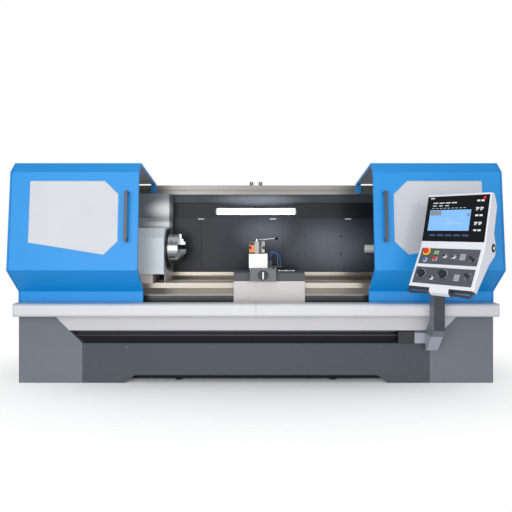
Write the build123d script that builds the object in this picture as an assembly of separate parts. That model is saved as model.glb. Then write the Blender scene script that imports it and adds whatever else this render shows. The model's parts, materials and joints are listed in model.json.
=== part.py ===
from build123d import *
import os
from math import cos, hypot, pi, radians, sin, tan

os.makedirs("parts", exist_ok=True)

# A CNC turning lathe. X runs from the headstock to the tailstock, Y runs back from the
# operator and Z is up. The origin is on the floor, under the spindle axis, midway along.

# Whole machine
machine_length = 3800.0
spindle_height = 1060.0
front_plane = -330.0
cabinet_front = 330.0
rear_plane = 560.0
centre_height = 280.0
bed_height = 235.0
panel_sheet = 3.0
seat_gap = 0.3
running_gap = 0.05
half_length = machine_length / 2
way_top = spindle_height - centre_height
base_top = way_top - bed_height

# Base: two plinths, the frame between them and its feet
plinth_inner = half_length - 512.0
slot_bottom = base_top - 228.0
kick_height = 62.0
kick_half_length = plinth_inner - 418.0
kick_slope = 80.0
toe_inset = 34.0
toe_gap = 12.0
frame_front = -268.0
foot_radius = 32.0
foot_pad = 14.0
foot_spacing = 1260.0
foot_inset = 60.0

# Front rail and the sheet below it
rail_front = -454.0
rail_back = -345.0
rail_top = base_top + 101.0
rail_tongue = 15.0
rail_round = 26.0
fascia_front = -362.0
fascia_bottom = base_top - 119.0
fascia_end_gap = 14.0
fascia_rib = 6.0
fascia_rib_spacing = 640.0

# Guide rail of the pendant and its trolley
guide_depth = 50.0
guide_low = base_top - 172.0
guide_high = base_top - 125.0
guide_wall = 8.0
guide_mouth = 21.0
guide_end_gap = 4.0
guide_half_length = plinth_inner + guide_low - slot_bottom - guide_end_gap
trolley_right = plinth_inner - 8.0
trolley_left = trolley_right - 250.0
trolley_low = base_top - 223.0
trolley_high = base_top - 129.0
trolley_front = -353.0

# Bed
bed_left = 600.0 - half_length
bed_right = half_length - 140.0
way_step = 15.0
front_way = (-130.0, -40.0)
rear_way = (60.0, 150.0)
bed_half_width = 200.0
bed_wall = 28.0
bed_rib_pitch = 300.0
bed_rib = 22.0
bed_window = (150.0, 90.0)
bed_shoulder = base_top + 144.0
bed_heel = base_top + 95.0
way_flank = 43.0
way_depth = 90.0
tray_back = -206.0
tray_front = -318.0
tray_low = base_top + 21.0
tray_high = base_top + 51.0

# Rear cabinet, rear wall and door rail
cabinet_top = base_top + 997.0
wall_front = 286.0
cover_left = 34.0 - half_length
cover_right = cover_left + 1107.0
wall_left = cover_right + 3.0
wall_right = half_length - 40.0
wall_low = way_top + 32.0
lamp_low = base_top + 783.0
lamp_high = base_top + 925.0
lamp_recess = 26.0
wall_seams = (wall_left + 256.0, wall_left + 997.0, wall_left + 1641.0)
seam_width = 4.0
wall_clips = (wall_left + 254.0, wall_left + 911.0, wall_left + 1598.0)
clip_size = (56.0, 6.0, 10.0)
door_rail_front = 263.0
door_rail_top = cabinet_top + 84.0
louvre_count = 9
louvre_pitch = 26.0
louvre_size = (260.0, 9.0)
wall_column = 140.0
stop_spacing = 82.0
stop_radius = 17.0
stop_height = 34.0

# Lamp
lamp_length = 690.0
lamp_radius = 19.0
lamp_height = lamp_low + 58.0
lamp_stand_off = 13.0

# Doors: one bent sheet each, from the skirt over the front to the roof
door_width = 979.0
skirt_bottom = base_top + 55.0
skirt_top = base_top + 187.0
door_belly = (-542.0, base_top + 370.0)
door_brow = (-472.0, base_top + 1128.0)
door_crown = (-385.0, base_top + 1207.0)
door_roof_end = (250.0, base_top + 1095.0)
door_flange = 26.0
end_panel_sheet = 14.0
end_panel_gap = 2.0
cabinet_half_length = half_length - end_panel_sheet
door_outer = cabinet_half_length - end_panel_gap
door_inner = door_outer - door_width
door_bend = 9.0
window_pane = 5.0
window_lip = 12.0
window_outer = door_outer - 129.0
window_middle = window_outer - 595.0
window_inner = window_middle - 112.0
window_top = base_top + 1069.0
window_shoulder = base_top + 959.0
window_low_inner = base_top + 586.0
window_low_middle = base_top + 478.0
window_low_outer = base_top + 573.0
handle_x = door_inner + 85.0
handle_low = base_top + 586.0
handle_high = base_top + 974.0
handle_width = 26.0
handle_bar = 12.0
handle_reach = 50.0
handle_foot = 30.0
guide_block = (44.0, 26.0, 74.0)
guide_overlap = 9.0

# Headstock
cover_front = -206.0
cover_low = way_top + 78.0
cover_high = spindle_height + 98.0
cover_slope = 82.0
cover_sheet = 4.0
guard_front = 70.0
headstock_right = cover_right - 101.0
headstock_left = headstock_right - 430.0
headstock_front = -160.0
headstock_back = 190.0
headstock_high = spindle_height + 150.0
nose_ring_radius = 172.0
nose_ring_bore = 128.0
nose_ring_front = cover_right + 9.0

# Spindle, chuck and drive
spindle_bore = 33.0
bar_opening = 60.0
spindle_radius = 70.0
spindle_flange_radius = 105.0
spindle_flange = 22.0
spindle_rear = headstock_left - 190.0
backplate_front = nose_ring_front + 5.0
bearing_width = 60.0
bearing_outer = 105.0
chuck_front = backplate_front + 90.0
chuck_radius = 133.0
chuck_bore = 35.0
jaw_width = 34.0
jaw_groove_width = 50.0
jaw_groove_depth = 10.0
jaw_base = 28.0
jaw_step = 24.0
jaw_rise = 48.0
jaw_inner = 52.0
jaw_heel = 16.0
jaw_gap = 0.1
jaw_travel = 9.0
pulley_radius = 120.0
pulley_left = headstock_left - 160.0
pulley_width = 90.0
groove_count = 3
groove_depth = 5.0
belt_thickness = 9.0
motor_radius = 118.0
motor_length = 360.0
motor_gap = 40.0
motor_y = 60.0
motor_z = base_top + 177.0
motor_shaft = 24.0
motor_pulley_radius = 72.0
motor_fins = 12
fin_height = 9.0

# Carriage: saddle, apron and cross slide
saddle_left = -184.0
saddle_right = 402.0
saddle_front = -212.0
saddle_back = 110.0
saddle_top = way_top + 91.0
saddle_band = way_top + 22.0
apron_low = way_top - 155.0
apron_sheet = 8.0
screw_radius = 20.0
screw_journal = 12.0
screw_y = 225.0
screw_z = way_top - 105.0
screw_nut = 36.0
screw_lug = 28.0
screw_left = bed_left + 10.0
screw_right = bed_right - 20.0
slide_left = -53.0
slide_right = 168.0
slide_front = -140.0
slide_back = 150.0
slide_low = saddle_top + 5.0
slide_top = slide_low + 29.0
tail_width = 120.0
tail_depth = 24.0
tool_block_left = -60.0
tool_block_right = 97.0
tool_block_front = -150.0
tool_block_back = 20.0
tool_block_top = slide_top + 116.0
post_left = -12.0
post_right = 25.0
post_top = tool_block_top + 106.0
post_front = -118.0
post_back = -12.0
post_bolt_radius = 11.0
post_bolt_top = post_top + 21.0
holder_height = 96.0
holder_reach = 46.0
holder_grooves = 4
lever_length = 166.0
lever_rise = 14.0
lever_radius = 5.0
lever_ball = 13.0
knob_radius = 38.0
knob_depth = 26.0
knob_shaft = 9.0
knob_grips = 8
bracket_front = -262.0
bracket_low = way_top + 25.0
bracket_high = slide_top - 2.0
bracket_bore_depth = 24.0

# Coolant: a manifold on the cross slide and two hoses arched to its side arm, whose points
# are in heights over the slide
manifold_left = 98.0
manifold_right = 137.0
manifold_front = -66.0
manifold_back = -14.0
manifold_top = slide_top + 55.0
nozzle_arm_right = 222.0
nozzle_arm_top = slide_top + 9.0
hose_radius = 3.0
fitting_radius = 6.5
fitting_height = 14.0
hose_routes = (
    ((110.0, -50.0, 69.0), (110.0, -50.0, 101.0), (124.0, -49.0, 131.0), (157.0, -47.0, 135.0),
     (180.0, -45.0, 107.0), (184.0, -44.0, 67.0), (184.0, -44.0, 23.0)),
    ((126.0, -28.0, 69.0), (126.0, -28.0, 97.0), (143.0, -29.0, 121.0), (176.0, -31.0, 123.0),
     (201.0, -33.0, 98.0), (208.0, -34.0, 61.0), (208.0, -34.0, 23.0)),
)

# Tailstock
tailstock_right = bed_right - 260.0
tailstock_left = tailstock_right - 420.0
quill_radius = 34.0
quill_tip = tailstock_left - 142.0
quill_taper = 15.7
quill_taper_length = 90.0
collar_radius = 62.0
collar_width = 26.0
tailstock_base_top = way_top + 70.0

# Pendant: its arm, neck and housing
arm_left = trolley_right - 37.0
arm_right = arm_left + 87.0
arm_front = -563.0
arm_back = -468.0
arm_top = base_top + 190.0
arm_knee = base_top - 84.0
arm_foot_low = base_top - 271.0
arm_foot_high = base_top - 140.0
arm_heel = -394.0
gusset_left = arm_left - 81.0
gusset_sheet = 6.0
gusset_drop = 62.0
collar_height = 22.0
swivel_radius = 42.0
swivel_pin = 20.0
swivel_pin_length = 60.0
pendant_corner = (arm_left - 81.0, -680.0)
pendant_turn = -50.0
pendant_width = 478.0
pendant_top = base_top + 932.0
upper_tilt = 15.0
upper_length = 386.0
lower_tilt = 29.0
lower_length = 310.0
housing_round = 7.0
pivot_depth = 15.0
trunnion_radius = 22.0
trunnion_middle = 120.0
trunnion_half = 58.0
neck_bar = 60.0
neck_depth = 130.0
neck_stub = 40.0
screen_margin = 7.0
screen_top = 12.0
screen_length = 332.0
screen_depth = 3.0
strip_margin = 20.0
strip_depth = 3.0
strip_spans = ((8.0, 132.0), (155.0, 281.0))
button_gap = 0.3
button_lift = 5.5
stop_stem = 11.0
small_stem = 9.0
stick_ball = 12.0
dial_radius = 26.0
dial_height = 22.0
dial_shaft = 6.0
dial_grips = 8
stick_height = 34.0
left_dial_place = (70.8, 204.6)
right_dial_place = (234.4, 201.2)
stop_place = (61.7, 33.2)
blue_place = (68.5, 99.7)
green_place = (142.5, 45.1)
red_place = (141.6, 86.7)
joystick_place = (418.8, 84.0)
square_button = 22.0
key_panels = ((345.2, 68.5, 62.0, 46.0), (341.8, 222.0, 78.0, 62.0))
low_stick_place = (419.6, 209.9)
grip_radius = 9.0
grip_bend = 16.0
grip_reach = 158.0
grip_drop = 38.0
selector_places = ((213.5, 68.5), (279.6, 71.6), (159.4, 236.3))


# Sizes that follow from those above
slide_middle = (slide_left + slide_right) / 2
post_middle_x = (post_left + post_right) / 2
post_middle_y = (post_front + post_back) / 2
swivel_x = (arm_left + arm_right) / 2
swivel_y = (arm_front + arm_back) / 2


# Shapes that more than one piece uses
def block(x_low, x_high, y_low, y_high, z_low, z_high):
    middle = ((x_low + x_high) / 2, (y_low + y_high) / 2, (z_low + z_high) / 2)
    return Pos(*middle) * Box(x_high - x_low, y_high - y_low, z_high - z_low)


def along_x(outline, x_low, x_high):
    """An outline of (Y, Z) points, drawn out along X."""
    face = make_face(Plane.YZ * Polyline(*outline, close=True))
    return Pos(x_low, 0, 0) * extrude(face, amount=x_high - x_low, dir=(1, 0, 0))


def along_y(outline, y_low, y_high):
    """An outline of (X, Z) points, drawn out along Y."""
    face = make_face(Plane.XZ * Polyline(*outline, close=True))
    return Pos(0, y_low, 0) * extrude(face, amount=y_high - y_low, dir=(0, 1, 0))


def rod_x(radius, x_low, x_high, y, z):
    return Pos((x_low + x_high) / 2, y, z) * Rot(0, 90, 0) * Cylinder(radius, x_high - x_low)


def rod_y(radius, x, y_low, y_high, z):
    return Pos(x, (y_low + y_high) / 2, z) * Rot(90, 0, 0) * Cylinder(radius, y_high - y_low)


def rod_z(radius, x, y, z_low, z_high):
    return Pos(x, y, (z_low + z_high) / 2) * Cylinder(radius, z_high - z_low)


def turned(outline):
    """An outline of (X, radius) points, turned about the spindle axis."""
    face = make_face(Polyline(*outline, close=True))
    return Pos(0, 0, spindle_height) * revolve(face, Axis.X)


def folded(points, thickness):
    """The section of a bent sheet: its outer line, and the same line set in to the right."""
    inner = []
    last = len(points) - 1
    for i, (a, b) in enumerate(points):
        sides = []
        for j in (i - 1, i):
            if 0 <= j < last:
                run = (points[j + 1][0] - points[j][0], points[j + 1][1] - points[j][1])
                size = hypot(*run)
                sides.append((run[1] / size, -run[0] / size))
        first, second = sides[0], sides[-1]
        mitre = thickness / (1 + first[0] * second[0] + first[1] * second[1])
        inner.append((a + mitre * (first[0] + second[0]), b + mitre * (first[1] + second[1])))
    return list(points) + inner[::-1]


def rounded_bends(face, points, thickness, bend):
    """Round the bends of a sheet's section, on its outer line and, where it has one, its inner."""
    inner = folded(points, thickness)[len(points):][::-1]
    for i in range(1, len(points) - 1):
        (a, b), (c, d), (e, f) = points[i - 1 : i + 2]
        inward = (c - a) * (f - d) - (d - b) * (e - c) < 0
        outer_radius = bend + panel_sheet if inward else bend
        inner_radius = outer_radius - thickness if inward else outer_radius + thickness
        for (y, z), radius in ((points[i], outer_radius), (inner[i], inner_radius)):
            corner = face.vertices().sort_by_distance((0, y, z))[0]
            off = abs(corner.Y - y) + abs(corner.Z - z)
            if radius > 0 and off < 0.01:
                face = fillet(corner, radius)
    return face


def bent_sheet(points, thickness, bend, x_low, x_high):
    """A sheet along a line of (Y, Z) points with rounded bends, drawn out along X."""
    face = make_face(Plane.YZ * Polyline(*folded(points, thickness), close=True))
    face = rounded_bends(face, points, thickness, bend)
    return Pos(x_low, 0, 0) * extrude(face, amount=x_high - x_low, dir=(1, 0, 0))


def mirrored(shape):
    return mirror(shape, about=Plane.YZ)


# Base: closed sheet-metal plinths under the headstock and the tailstock
def plinth_edge(z):
    """How far out the slanted inner edge of a plinth is at a height."""
    return plinth_inner + max(0.0, z - slot_bottom)


def right_plinth():
    outline = [
        (plinth_inner, 0),
        (half_length, 0),
        (half_length, base_top),
        (plinth_edge(base_top), base_top),
        (plinth_inner, slot_bottom),
    ]
    body = along_y(outline, front_plane, rear_plane)
    corner = body.edges().filter_by(Axis.Z).filter_by_position(Axis.X, half_length - 1, half_length + 1)
    return fillet(corner, panel_sheet * 4)


def base_frame():
    outline = [
        (-plinth_inner, kick_height),
        (plinth_inner, kick_height),
        (plinth_inner, slot_bottom),
        (plinth_edge(base_top), base_top),
        (-plinth_edge(base_top), base_top),
        (-plinth_inner, slot_bottom),
    ]
    frame = along_y(outline, frame_front, rear_plane)
    toe_half = kick_half_length + kick_slope
    toe_front = frame_front + toe_inset
    frame += block(-toe_half, toe_half, toe_front, toe_front + panel_sheet, toe_gap, kick_height + 1)
    places = [(0, 0)]
    for x in (-foot_spacing / 2, foot_spacing / 2):
        places += [(x, frame_front + foot_inset), (x, rear_plane - foot_inset)]
    for x, y in places:
        frame += rod_z(foot_radius, x, y, 0, foot_pad)
        frame += rod_z(foot_radius / 3, x, y, 0, kick_height)
    return frame


def front_panel():
    face_outline = [
        (-plinth_inner, 0),
        (-kick_half_length - kick_slope, 0),
        (-kick_half_length, kick_height),
        (kick_half_length, kick_height),
        (kick_half_length + kick_slope, 0),
        (plinth_inner, 0),
        (plinth_inner, slot_bottom),
        (-plinth_inner, slot_bottom),
    ]
    panel = along_y(face_outline, front_plane, front_plane + panel_sheet)
    panel += block(
        -plinth_inner, plinth_inner, front_plane, frame_front, slot_bottom - panel_sheet, slot_bottom
    )
    for x in (-plinth_inner, plinth_inner - panel_sheet):
        panel += block(x, x + panel_sheet, front_plane, frame_front, 0, slot_bottom)
    return panel


# Front rail: a rounded lip along the whole machine, with a tongue that sits on the base
def front_rail():
    lip = along_x(
        [
            (rail_front, base_top),
            (rail_back, base_top),
            (rail_back, rail_top),
            (rail_front, rail_top),
        ],
        -half_length,
        half_length,
    )
    front_edges = lip.edges().filter_by_position(Axis.Y, rail_front - 1, rail_front + 1)
    lip = fillet(front_edges, rail_round)
    tongue = block(
        -half_length, half_length, rail_back, frame_front, base_top, base_top + rail_tongue
    )
    return lip + tongue


def lower_fascia():
    top_half = plinth_edge(base_top) - fascia_end_gap
    low_half = plinth_edge(fascia_bottom) - fascia_end_gap
    outline = [
        (-top_half, base_top),
        (top_half, base_top),
        (low_half, fascia_bottom),
        (-low_half, fascia_bottom),
    ]
    back = fascia_front + panel_sheet
    sheet = along_y(outline, fascia_front, back)
    return_edge = front_plane - panel_sheet
    sheet += block(-low_half, low_half, fascia_front, return_edge, fascia_bottom, fascia_bottom + panel_sheet)
    sheet += block(-top_half, top_half, fascia_front, return_edge, base_top - panel_sheet, base_top)
    rib_low = fascia_bottom + panel_sheet
    for place in (-2, -1, 0, 1, 2):
        x = place * fascia_rib_spacing
        sheet += block(x - fascia_rib / 2, x + fascia_rib / 2, back, frame_front, rib_low, base_top)
    return sheet


# Guide rail: a drawn C section that the pendant's trolley hangs on
def pendant_rail():
    front = frame_front - guide_depth
    rail = block(-guide_half_length, guide_half_length, front, frame_front, guide_low, guide_high)
    cavity = block(
        -guide_half_length,
        guide_half_length,
        front + guide_wall,
        frame_front - guide_wall,
        guide_low + guide_wall,
        guide_high - guide_wall,
    )
    middle = (guide_low + guide_high) / 2
    mouth = block(
        -guide_half_length,
        guide_half_length,
        front,
        frame_front - guide_wall,
        middle - guide_mouth / 2,
        middle + guide_mouth / 2,
    )
    return rail - cavity - mouth


# Bed: one iron casting with two ground ways, open below, with ribs across
def way_section():
    half = bed_half_width
    deck = way_top - way_step
    return [
        (-half, base_top),
        (-half, bed_shoulder),
        (front_way[0], way_top - way_flank),
        (front_way[0], way_top),
        (front_way[1], way_top),
        (front_way[1], deck),
        (rear_way[0], deck),
        (rear_way[0], way_top),
        (rear_way[1], way_top),
        (rear_way[1], way_top - way_depth),
        (half, bed_heel),
        (half, base_top),
    ]


def bed():
    casting = along_x(way_section(), bed_left, bed_right)
    hollow_high = way_top - way_step - 2 * bed_wall
    hollow_half = bed_half_width - bed_wall
    slope = bed_wall * 2
    hollow = along_x(
        [
            (-hollow_half, base_top),
            (-hollow_half, hollow_high - slope),
            (-hollow_half + slope, hollow_high),
            (hollow_half - slope, hollow_high),
            (hollow_half, hollow_high - slope),
            (hollow_half, base_top),
        ],
        bed_left + bed_wall,
        bed_right - bed_wall,
    )
    count = int((bed_right - bed_left - 2 * bed_wall) / bed_rib_pitch)
    for i in range(1, count + 1):
        x = bed_left + bed_wall + i * bed_rib_pitch
        if x < bed_right - bed_wall - bed_rib:
            hollow -= block(
                x - bed_rib / 2, x + bed_rib / 2, -hollow_half, hollow_half, base_top, hollow_high
            )
    casting -= hollow
    window_z = base_top + bed_window[1]
    for i in range(count):
        x = bed_left + bed_wall + (i + 0.5) * bed_rib_pitch
        slot = rod_y(bed_window[1] / 4, x - bed_window[0] / 4, 0, bed_half_width + 1, window_z)
        slot += rod_y(bed_window[1] / 4, x + bed_window[0] / 4, 0, bed_half_width + 1, window_z)
        slot += block(
            x - bed_window[0] / 4,
            x + bed_window[0] / 4,
            0,
            bed_half_width + 1,
            window_z - bed_window[1] / 4,
            window_z + bed_window[1] / 4,
        )
        casting -= slot
    for x in (screw_left + 2, screw_right - 2 - screw_lug):
        lug = block(x, x + screw_lug, bed_half_width - 4, screw_y + 30, base_top, screw_z + 30)
        lug -= rod_x(screw_journal + running_gap, x - 1, x + screw_lug + 1, screw_y, screw_z)
        casting += lug
    return casting


def chip_tray():
    """A folded trough between the front rail and the bed."""
    section = folded(
        [(tray_back, tray_high), (tray_back, tray_low), (tray_front, tray_low), (tray_front, tray_high)],
        panel_sheet,
    )
    tray = along_x(section, -plinth_inner, plinth_inner)
    leg_depth = 30.0
    for x in (-plinth_inner + leg_depth, 0, plinth_inner - leg_depth):
        tray += block(
            x - leg_depth / 2,
            x + leg_depth / 2,
            tray_back - leg_depth,
            tray_back - panel_sheet,
            base_top,
            tray_low,
        )
    return tray


# Rear: a closed cabinet behind the machining space
def rear_cabinet():
    lower = block(
        -cabinet_half_length, cabinet_half_length, cabinet_front, rear_plane, base_top, cabinet_top
    )
    column_low = block(
        wall_left,
        wall_right,
        wall_front + panel_sheet,
        cabinet_front,
        base_top + wall_column,
        lamp_low - panel_sheet,
    )
    column_high = block(
        wall_left,
        wall_right,
        wall_front + panel_sheet,
        cabinet_front,
        lamp_high + panel_sheet,
        cabinet_top,
    )
    cabinet = lower + column_low + column_high
    for bay in (-1, 0, 1):
        centre = bay * cabinet_half_length * 2 / 3
        for i in range(louvre_count):
            z = cabinet_top - 150 - i * louvre_pitch
            cabinet -= block(
                centre - louvre_size[0] / 2,
                centre + louvre_size[0] / 2,
                rear_plane - 6,
                rear_plane + 1,
                z - louvre_size[1] / 2,
                z + louvre_size[1] / 2,
            )
    for seam in (-1, 1):
        x = seam * cabinet_half_length / 3
        cabinet -= block(
            x - seam_width / 2, x + seam_width / 2, rear_plane - 5, rear_plane + 1, base_top, cabinet_top
        )
    return cabinet


def rear_wall():
    """The wall sheet: the lower panels, the lamp recess and the upper panel."""
    front = wall_front
    back = wall_front + panel_sheet
    recess = wall_front + lamp_recess
    section = [
        (front, wall_low),
        (front, lamp_low),
        (recess, lamp_low),
        (recess, lamp_high),
        (front, lamp_high),
        (front, cabinet_top),
    ]
    wall = along_x(folded(section, panel_sheet), wall_left, wall_right)
    cut = panel_sheet / 2
    for x in wall_seams:
        wall -= block(x - seam_width / 2, x + seam_width / 2, front - 1, front + cut, wall_low, lamp_low)
    wall -= block(-seam_width / 2, seam_width / 2, front - 1, front + cut, lamp_high, cabinet_top)
    width, depth, height = clip_size
    for x in wall_clips:
        wall += block(x - width / 2, x + width / 2, front - depth, front, lamp_low - 2 - height, lamp_low - 2)
    return wall


def way_guards():
    """The sloping stainless sheet behind the ways, on two small brackets."""
    left = cover_right + 2
    leg = rear_way[1] + 20
    section = folded(
        [
            (leg, way_top - 80),
            (leg, way_top - 6),
            (wall_front, wall_low - 10),
            (wall_front, wall_low + 24),
        ],
        -panel_sheet,
    )
    guards = along_x(section, left, bed_right)
    for x in (left, bed_right - 8):
        guards += block(x, x + 8, rear_way[1], leg - panel_sheet, way_top - 80, way_top - 40)
    return guards


def door_rail():
    """The capped rail over the cabinet that both doors hang on, with the two door stops."""
    rail = block(
        -cabinet_half_length,
        cabinet_half_length,
        door_rail_front,
        cabinet_front + 40,
        cabinet_top,
        door_rail_top,
    )
    groove = block(
        -cabinet_half_length,
        cabinet_half_length,
        door_rail_front - 1,
        door_rail_front + 4,
        cabinet_top + 34,
        cabinet_top + 42,
    )
    rail -= groove
    middle_y = door_rail_front + 30
    for x in (-stop_spacing / 2, stop_spacing / 2):
        rail += rod_z(stop_radius, x, middle_y, door_rail_top, door_rail_top + stop_height)
    return rail


def lamp_housing():
    recess = wall_front + lamp_recess
    back = recess - lamp_stand_off
    half = lamp_length / 2
    body = block(-half - 20, half + 20, back, recess, lamp_height - 26, lamp_height + 34)
    for x in (-half - 20, half + 4):
        body += block(x, x + 16, back - 2 * lamp_radius, back, lamp_height - 22, lamp_height + 22)
    return body


def lamp_tube():
    recess = wall_front + lamp_recess
    y = recess - lamp_stand_off - lamp_radius - seat_gap
    half = lamp_length / 2 + 3.7
    return rod_x(lamp_radius, -half, half, y, lamp_height)


# Doors
def door_profile():
    return [
        (front_plane, skirt_bottom),
        (front_plane, skirt_top),
        door_belly,
        door_brow,
        door_crown,
        door_roof_end,
    ]


def front_face_frame(x):
    """A plane on the door's front face, X along the machine and Z out of the face."""
    rise = door_brow[1] - door_belly[1]
    run = door_brow[0] - door_belly[0]
    return Plane(origin=(x, door_belly[0], door_belly[1]), x_dir=(1, 0, 0), z_dir=(0, -rise, run))


def window_outline(shrink):
    """The window in the right door, as points on the door's front face."""
    rise = door_brow[1] - door_belly[1]
    slant = hypot(rise, door_brow[0] - door_belly[0]) / rise
    points = [
        (window_outer, window_top),
        (window_middle, window_top),
        (window_inner, window_shoulder),
        (window_inner, window_low_inner),
        (window_middle, window_low_middle),
        (window_outer, window_low_outer),
    ]
    face = make_face(Polyline(*[(x, (z - door_belly[1]) * slant) for x, z in points], close=True))
    return offset(face, amount=-shrink, kind=Kind.INTERSECTION) if shrink else face


def right_door():
    shell = bent_sheet(door_profile(), panel_sheet, door_bend, door_inner, door_outer)
    for x in (door_inner, door_outer - panel_sheet):
        shell += bent_sheet(door_profile(), door_flange, door_bend, x, x + panel_sheet)
    opening = extrude(front_face_frame(0) * window_outline(window_lip), amount=-door_flange)
    shell -= opening
    width, depth, height = guide_block
    roof_y, roof_z = door_roof_end
    front = roof_y + 6 - depth
    for x in (door_inner, door_outer - width):
        shell += block(x, x + width, front, roof_y + 6, door_rail_top - height, roof_z - 2)
        shell += block(
            x, x + width, front, door_rail_front + guide_overlap, door_rail_top + seat_gap, roof_z - 2
        )
    return shell


def right_window():
    pane = extrude(front_face_frame(0) * window_outline(1.0), amount=-window_pane)
    inward = front_face_frame(0).z_dir * -panel_sheet
    return Pos(*inward) * pane


def right_handle():
    """A flat bar on two feet, along the inner side of the door."""
    rise = door_brow[1] - door_belly[1]
    slant = hypot(rise, door_brow[0] - door_belly[0]) / rise
    low = (handle_low - door_belly[1]) * slant
    high = (handle_high - door_belly[1]) * slant
    bar = Pos(0, (low + high) / 2, handle_reach - handle_bar / 2) * Box(handle_width, high - low, handle_bar)
    bar = fillet(bar.edges().filter_by(Axis.Y), handle_bar / 3)
    for y in (low + handle_foot / 2, high - handle_foot / 2):
        foot_height = handle_reach - handle_bar / 2
        bar += Pos(0, y, foot_height / 2) * Box(handle_width * 0.8, handle_foot, foot_height)
    return front_face_frame(handle_x) * bar


def right_end_panel():
    """The fixed plate that closes the end of the machine, with the doors' outline."""
    low = base_top + rail_tongue
    back = [(cabinet_front - 2, door_roof_end[1]), (cabinet_front - 2, low)]
    foot = [(rail_back + 30, low), (rail_back + 30, skirt_bottom)]
    face = make_face(Plane.YZ * Polyline(*door_profile(), *back, *foot, close=True))
    face = rounded_bends(face, door_profile(), half_length, door_bend)
    return Pos(cabinet_half_length, 0, 0) * extrude(face, amount=end_panel_sheet, dir=(1, 0, 0))


def left_end_panel():
    """The plate at the headstock end, with the round opening for bar stock."""
    plate = mirrored(right_end_panel())
    return plate - rod_x(bar_opening, -half_length - 1, 1 - cabinet_half_length, 0, spindle_height)


# Headstock: the casting, its bearings and the sheet cover round it
def headstock():
    body = block(
        headstock_left, headstock_right, headstock_front, headstock_back, way_top, headstock_high
    )
    top_edges = body.edges().filter_by(Axis.X).filter_by_position(
        Axis.Z, headstock_high - 1, headstock_high + 1
    )
    body = chamfer(top_edges, 40)
    nose = rod_x(nose_ring_radius, headstock_right, nose_ring_front, 0, spindle_height)
    body += nose
    body -= rod_x(nose_ring_bore, headstock_right + 20, nose_ring_front + 1, 0, spindle_height)
    bore = bearing_outer
    body -= rod_x(bore, headstock_left - 1, headstock_left + bearing_width, 0, spindle_height)
    body -= rod_x(bore, headstock_right - bearing_width, headstock_right + 21, 0, spindle_height)
    body -= rod_x(
        spindle_radius + 12, headstock_left, headstock_right, 0, spindle_height
    )
    return body


def headstock_cover():
    """Folded sheet round the headstock, with the taller guard behind the chuck."""
    top = cover_high + cover_slope
    section = [
        (cover_front, cover_low),
        (cover_front, cover_high),
        (cover_front + cover_slope * 0.85, top),
        (guard_front, top),
        (guard_front, cabinet_top - 2),
        (wall_front - 2, cabinet_top - 2),
    ]
    shell = along_x(folded(section, cover_sheet), cover_left, cover_right)
    foot = [(wall_front - 2, base_top), (cover_front, base_top)]
    left_plate = along_x(section[1:] + foot, cover_left, cover_left + cover_sheet)
    left_plate -= rod_x(bar_opening, cover_left - 1, cover_left + cover_sheet + 1, 0, spindle_height)
    above_bed = way_top + 2
    heel = [(wall_front - 2, above_bed), (headstock_front, above_bed), (headstock_front, cover_low)]
    right_outline = section + heel
    right_plate = along_x(right_outline, cover_right - cover_sheet, cover_right)
    right_plate -= rod_x(
        nose_ring_radius + 1, cover_right - cover_sheet - 1, cover_right + 1, 0, spindle_height
    )
    return shell + right_plate + left_plate


def spindle_bearings():
    rings = []
    inner = spindle_radius + running_gap
    outer = bearing_outer - running_gap
    for low in (headstock_left, headstock_right - bearing_width):
        high = low + bearing_width
        rings.append(turned([(low, inner), (high, inner), (high, outer), (low, outer)]))
    return Compound(children=rings)


def spindle():
    """The hollow spindle with its nose flange and, at the rear, its grooved pulley."""
    flange_back = backplate_front - 30 - spindle_flange
    neck = spindle_radius - 8
    rim = groove_outline(pulley_radius, pulley_left, pulley_width)
    return turned(
        [
            (spindle_rear, spindle_bore),
            (spindle_rear, neck),
            (pulley_left, neck),
            *rim,
            (pulley_left + pulley_width, neck),
            (headstock_left - 5, neck),
            (headstock_left - 5, spindle_radius),
            (flange_back - 8, spindle_radius),
            (flange_back, spindle_flange_radius),
            (flange_back + spindle_flange, spindle_flange_radius),
            (flange_back + spindle_flange, spindle_bore),
        ]
    )


def groove_outline(radius, low, width):
    """A pulley's rim with its vee grooves, as (X, radius) points."""
    pitch = width / (groove_count + 1)
    points = [(low, radius)]
    for i in range(groove_count):
        x = low + pitch * (i + 1)
        points += [
            (x - pitch * 0.42, radius),
            (x - pitch * 0.14, radius - groove_depth),
            (x + pitch * 0.14, radius - groove_depth),
            (x + pitch * 0.42, radius),
        ]
    points.append((low + width, radius))
    return points


def motor_pulley():
    """The small pulley with the end of the motor's shaft."""
    rim = groove_outline(motor_pulley_radius, pulley_left, pulley_width)
    right = pulley_left + pulley_width
    shaft_end = pulley_left - 2 * motor_gap
    outline = [(shaft_end, 0), (shaft_end, motor_shaft), (pulley_left, motor_shaft), *rim, (right, 0)]
    face = make_face(Polyline(*outline, close=True))
    return Pos(0, motor_y, motor_z) * revolve(face, Axis.X)


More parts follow.
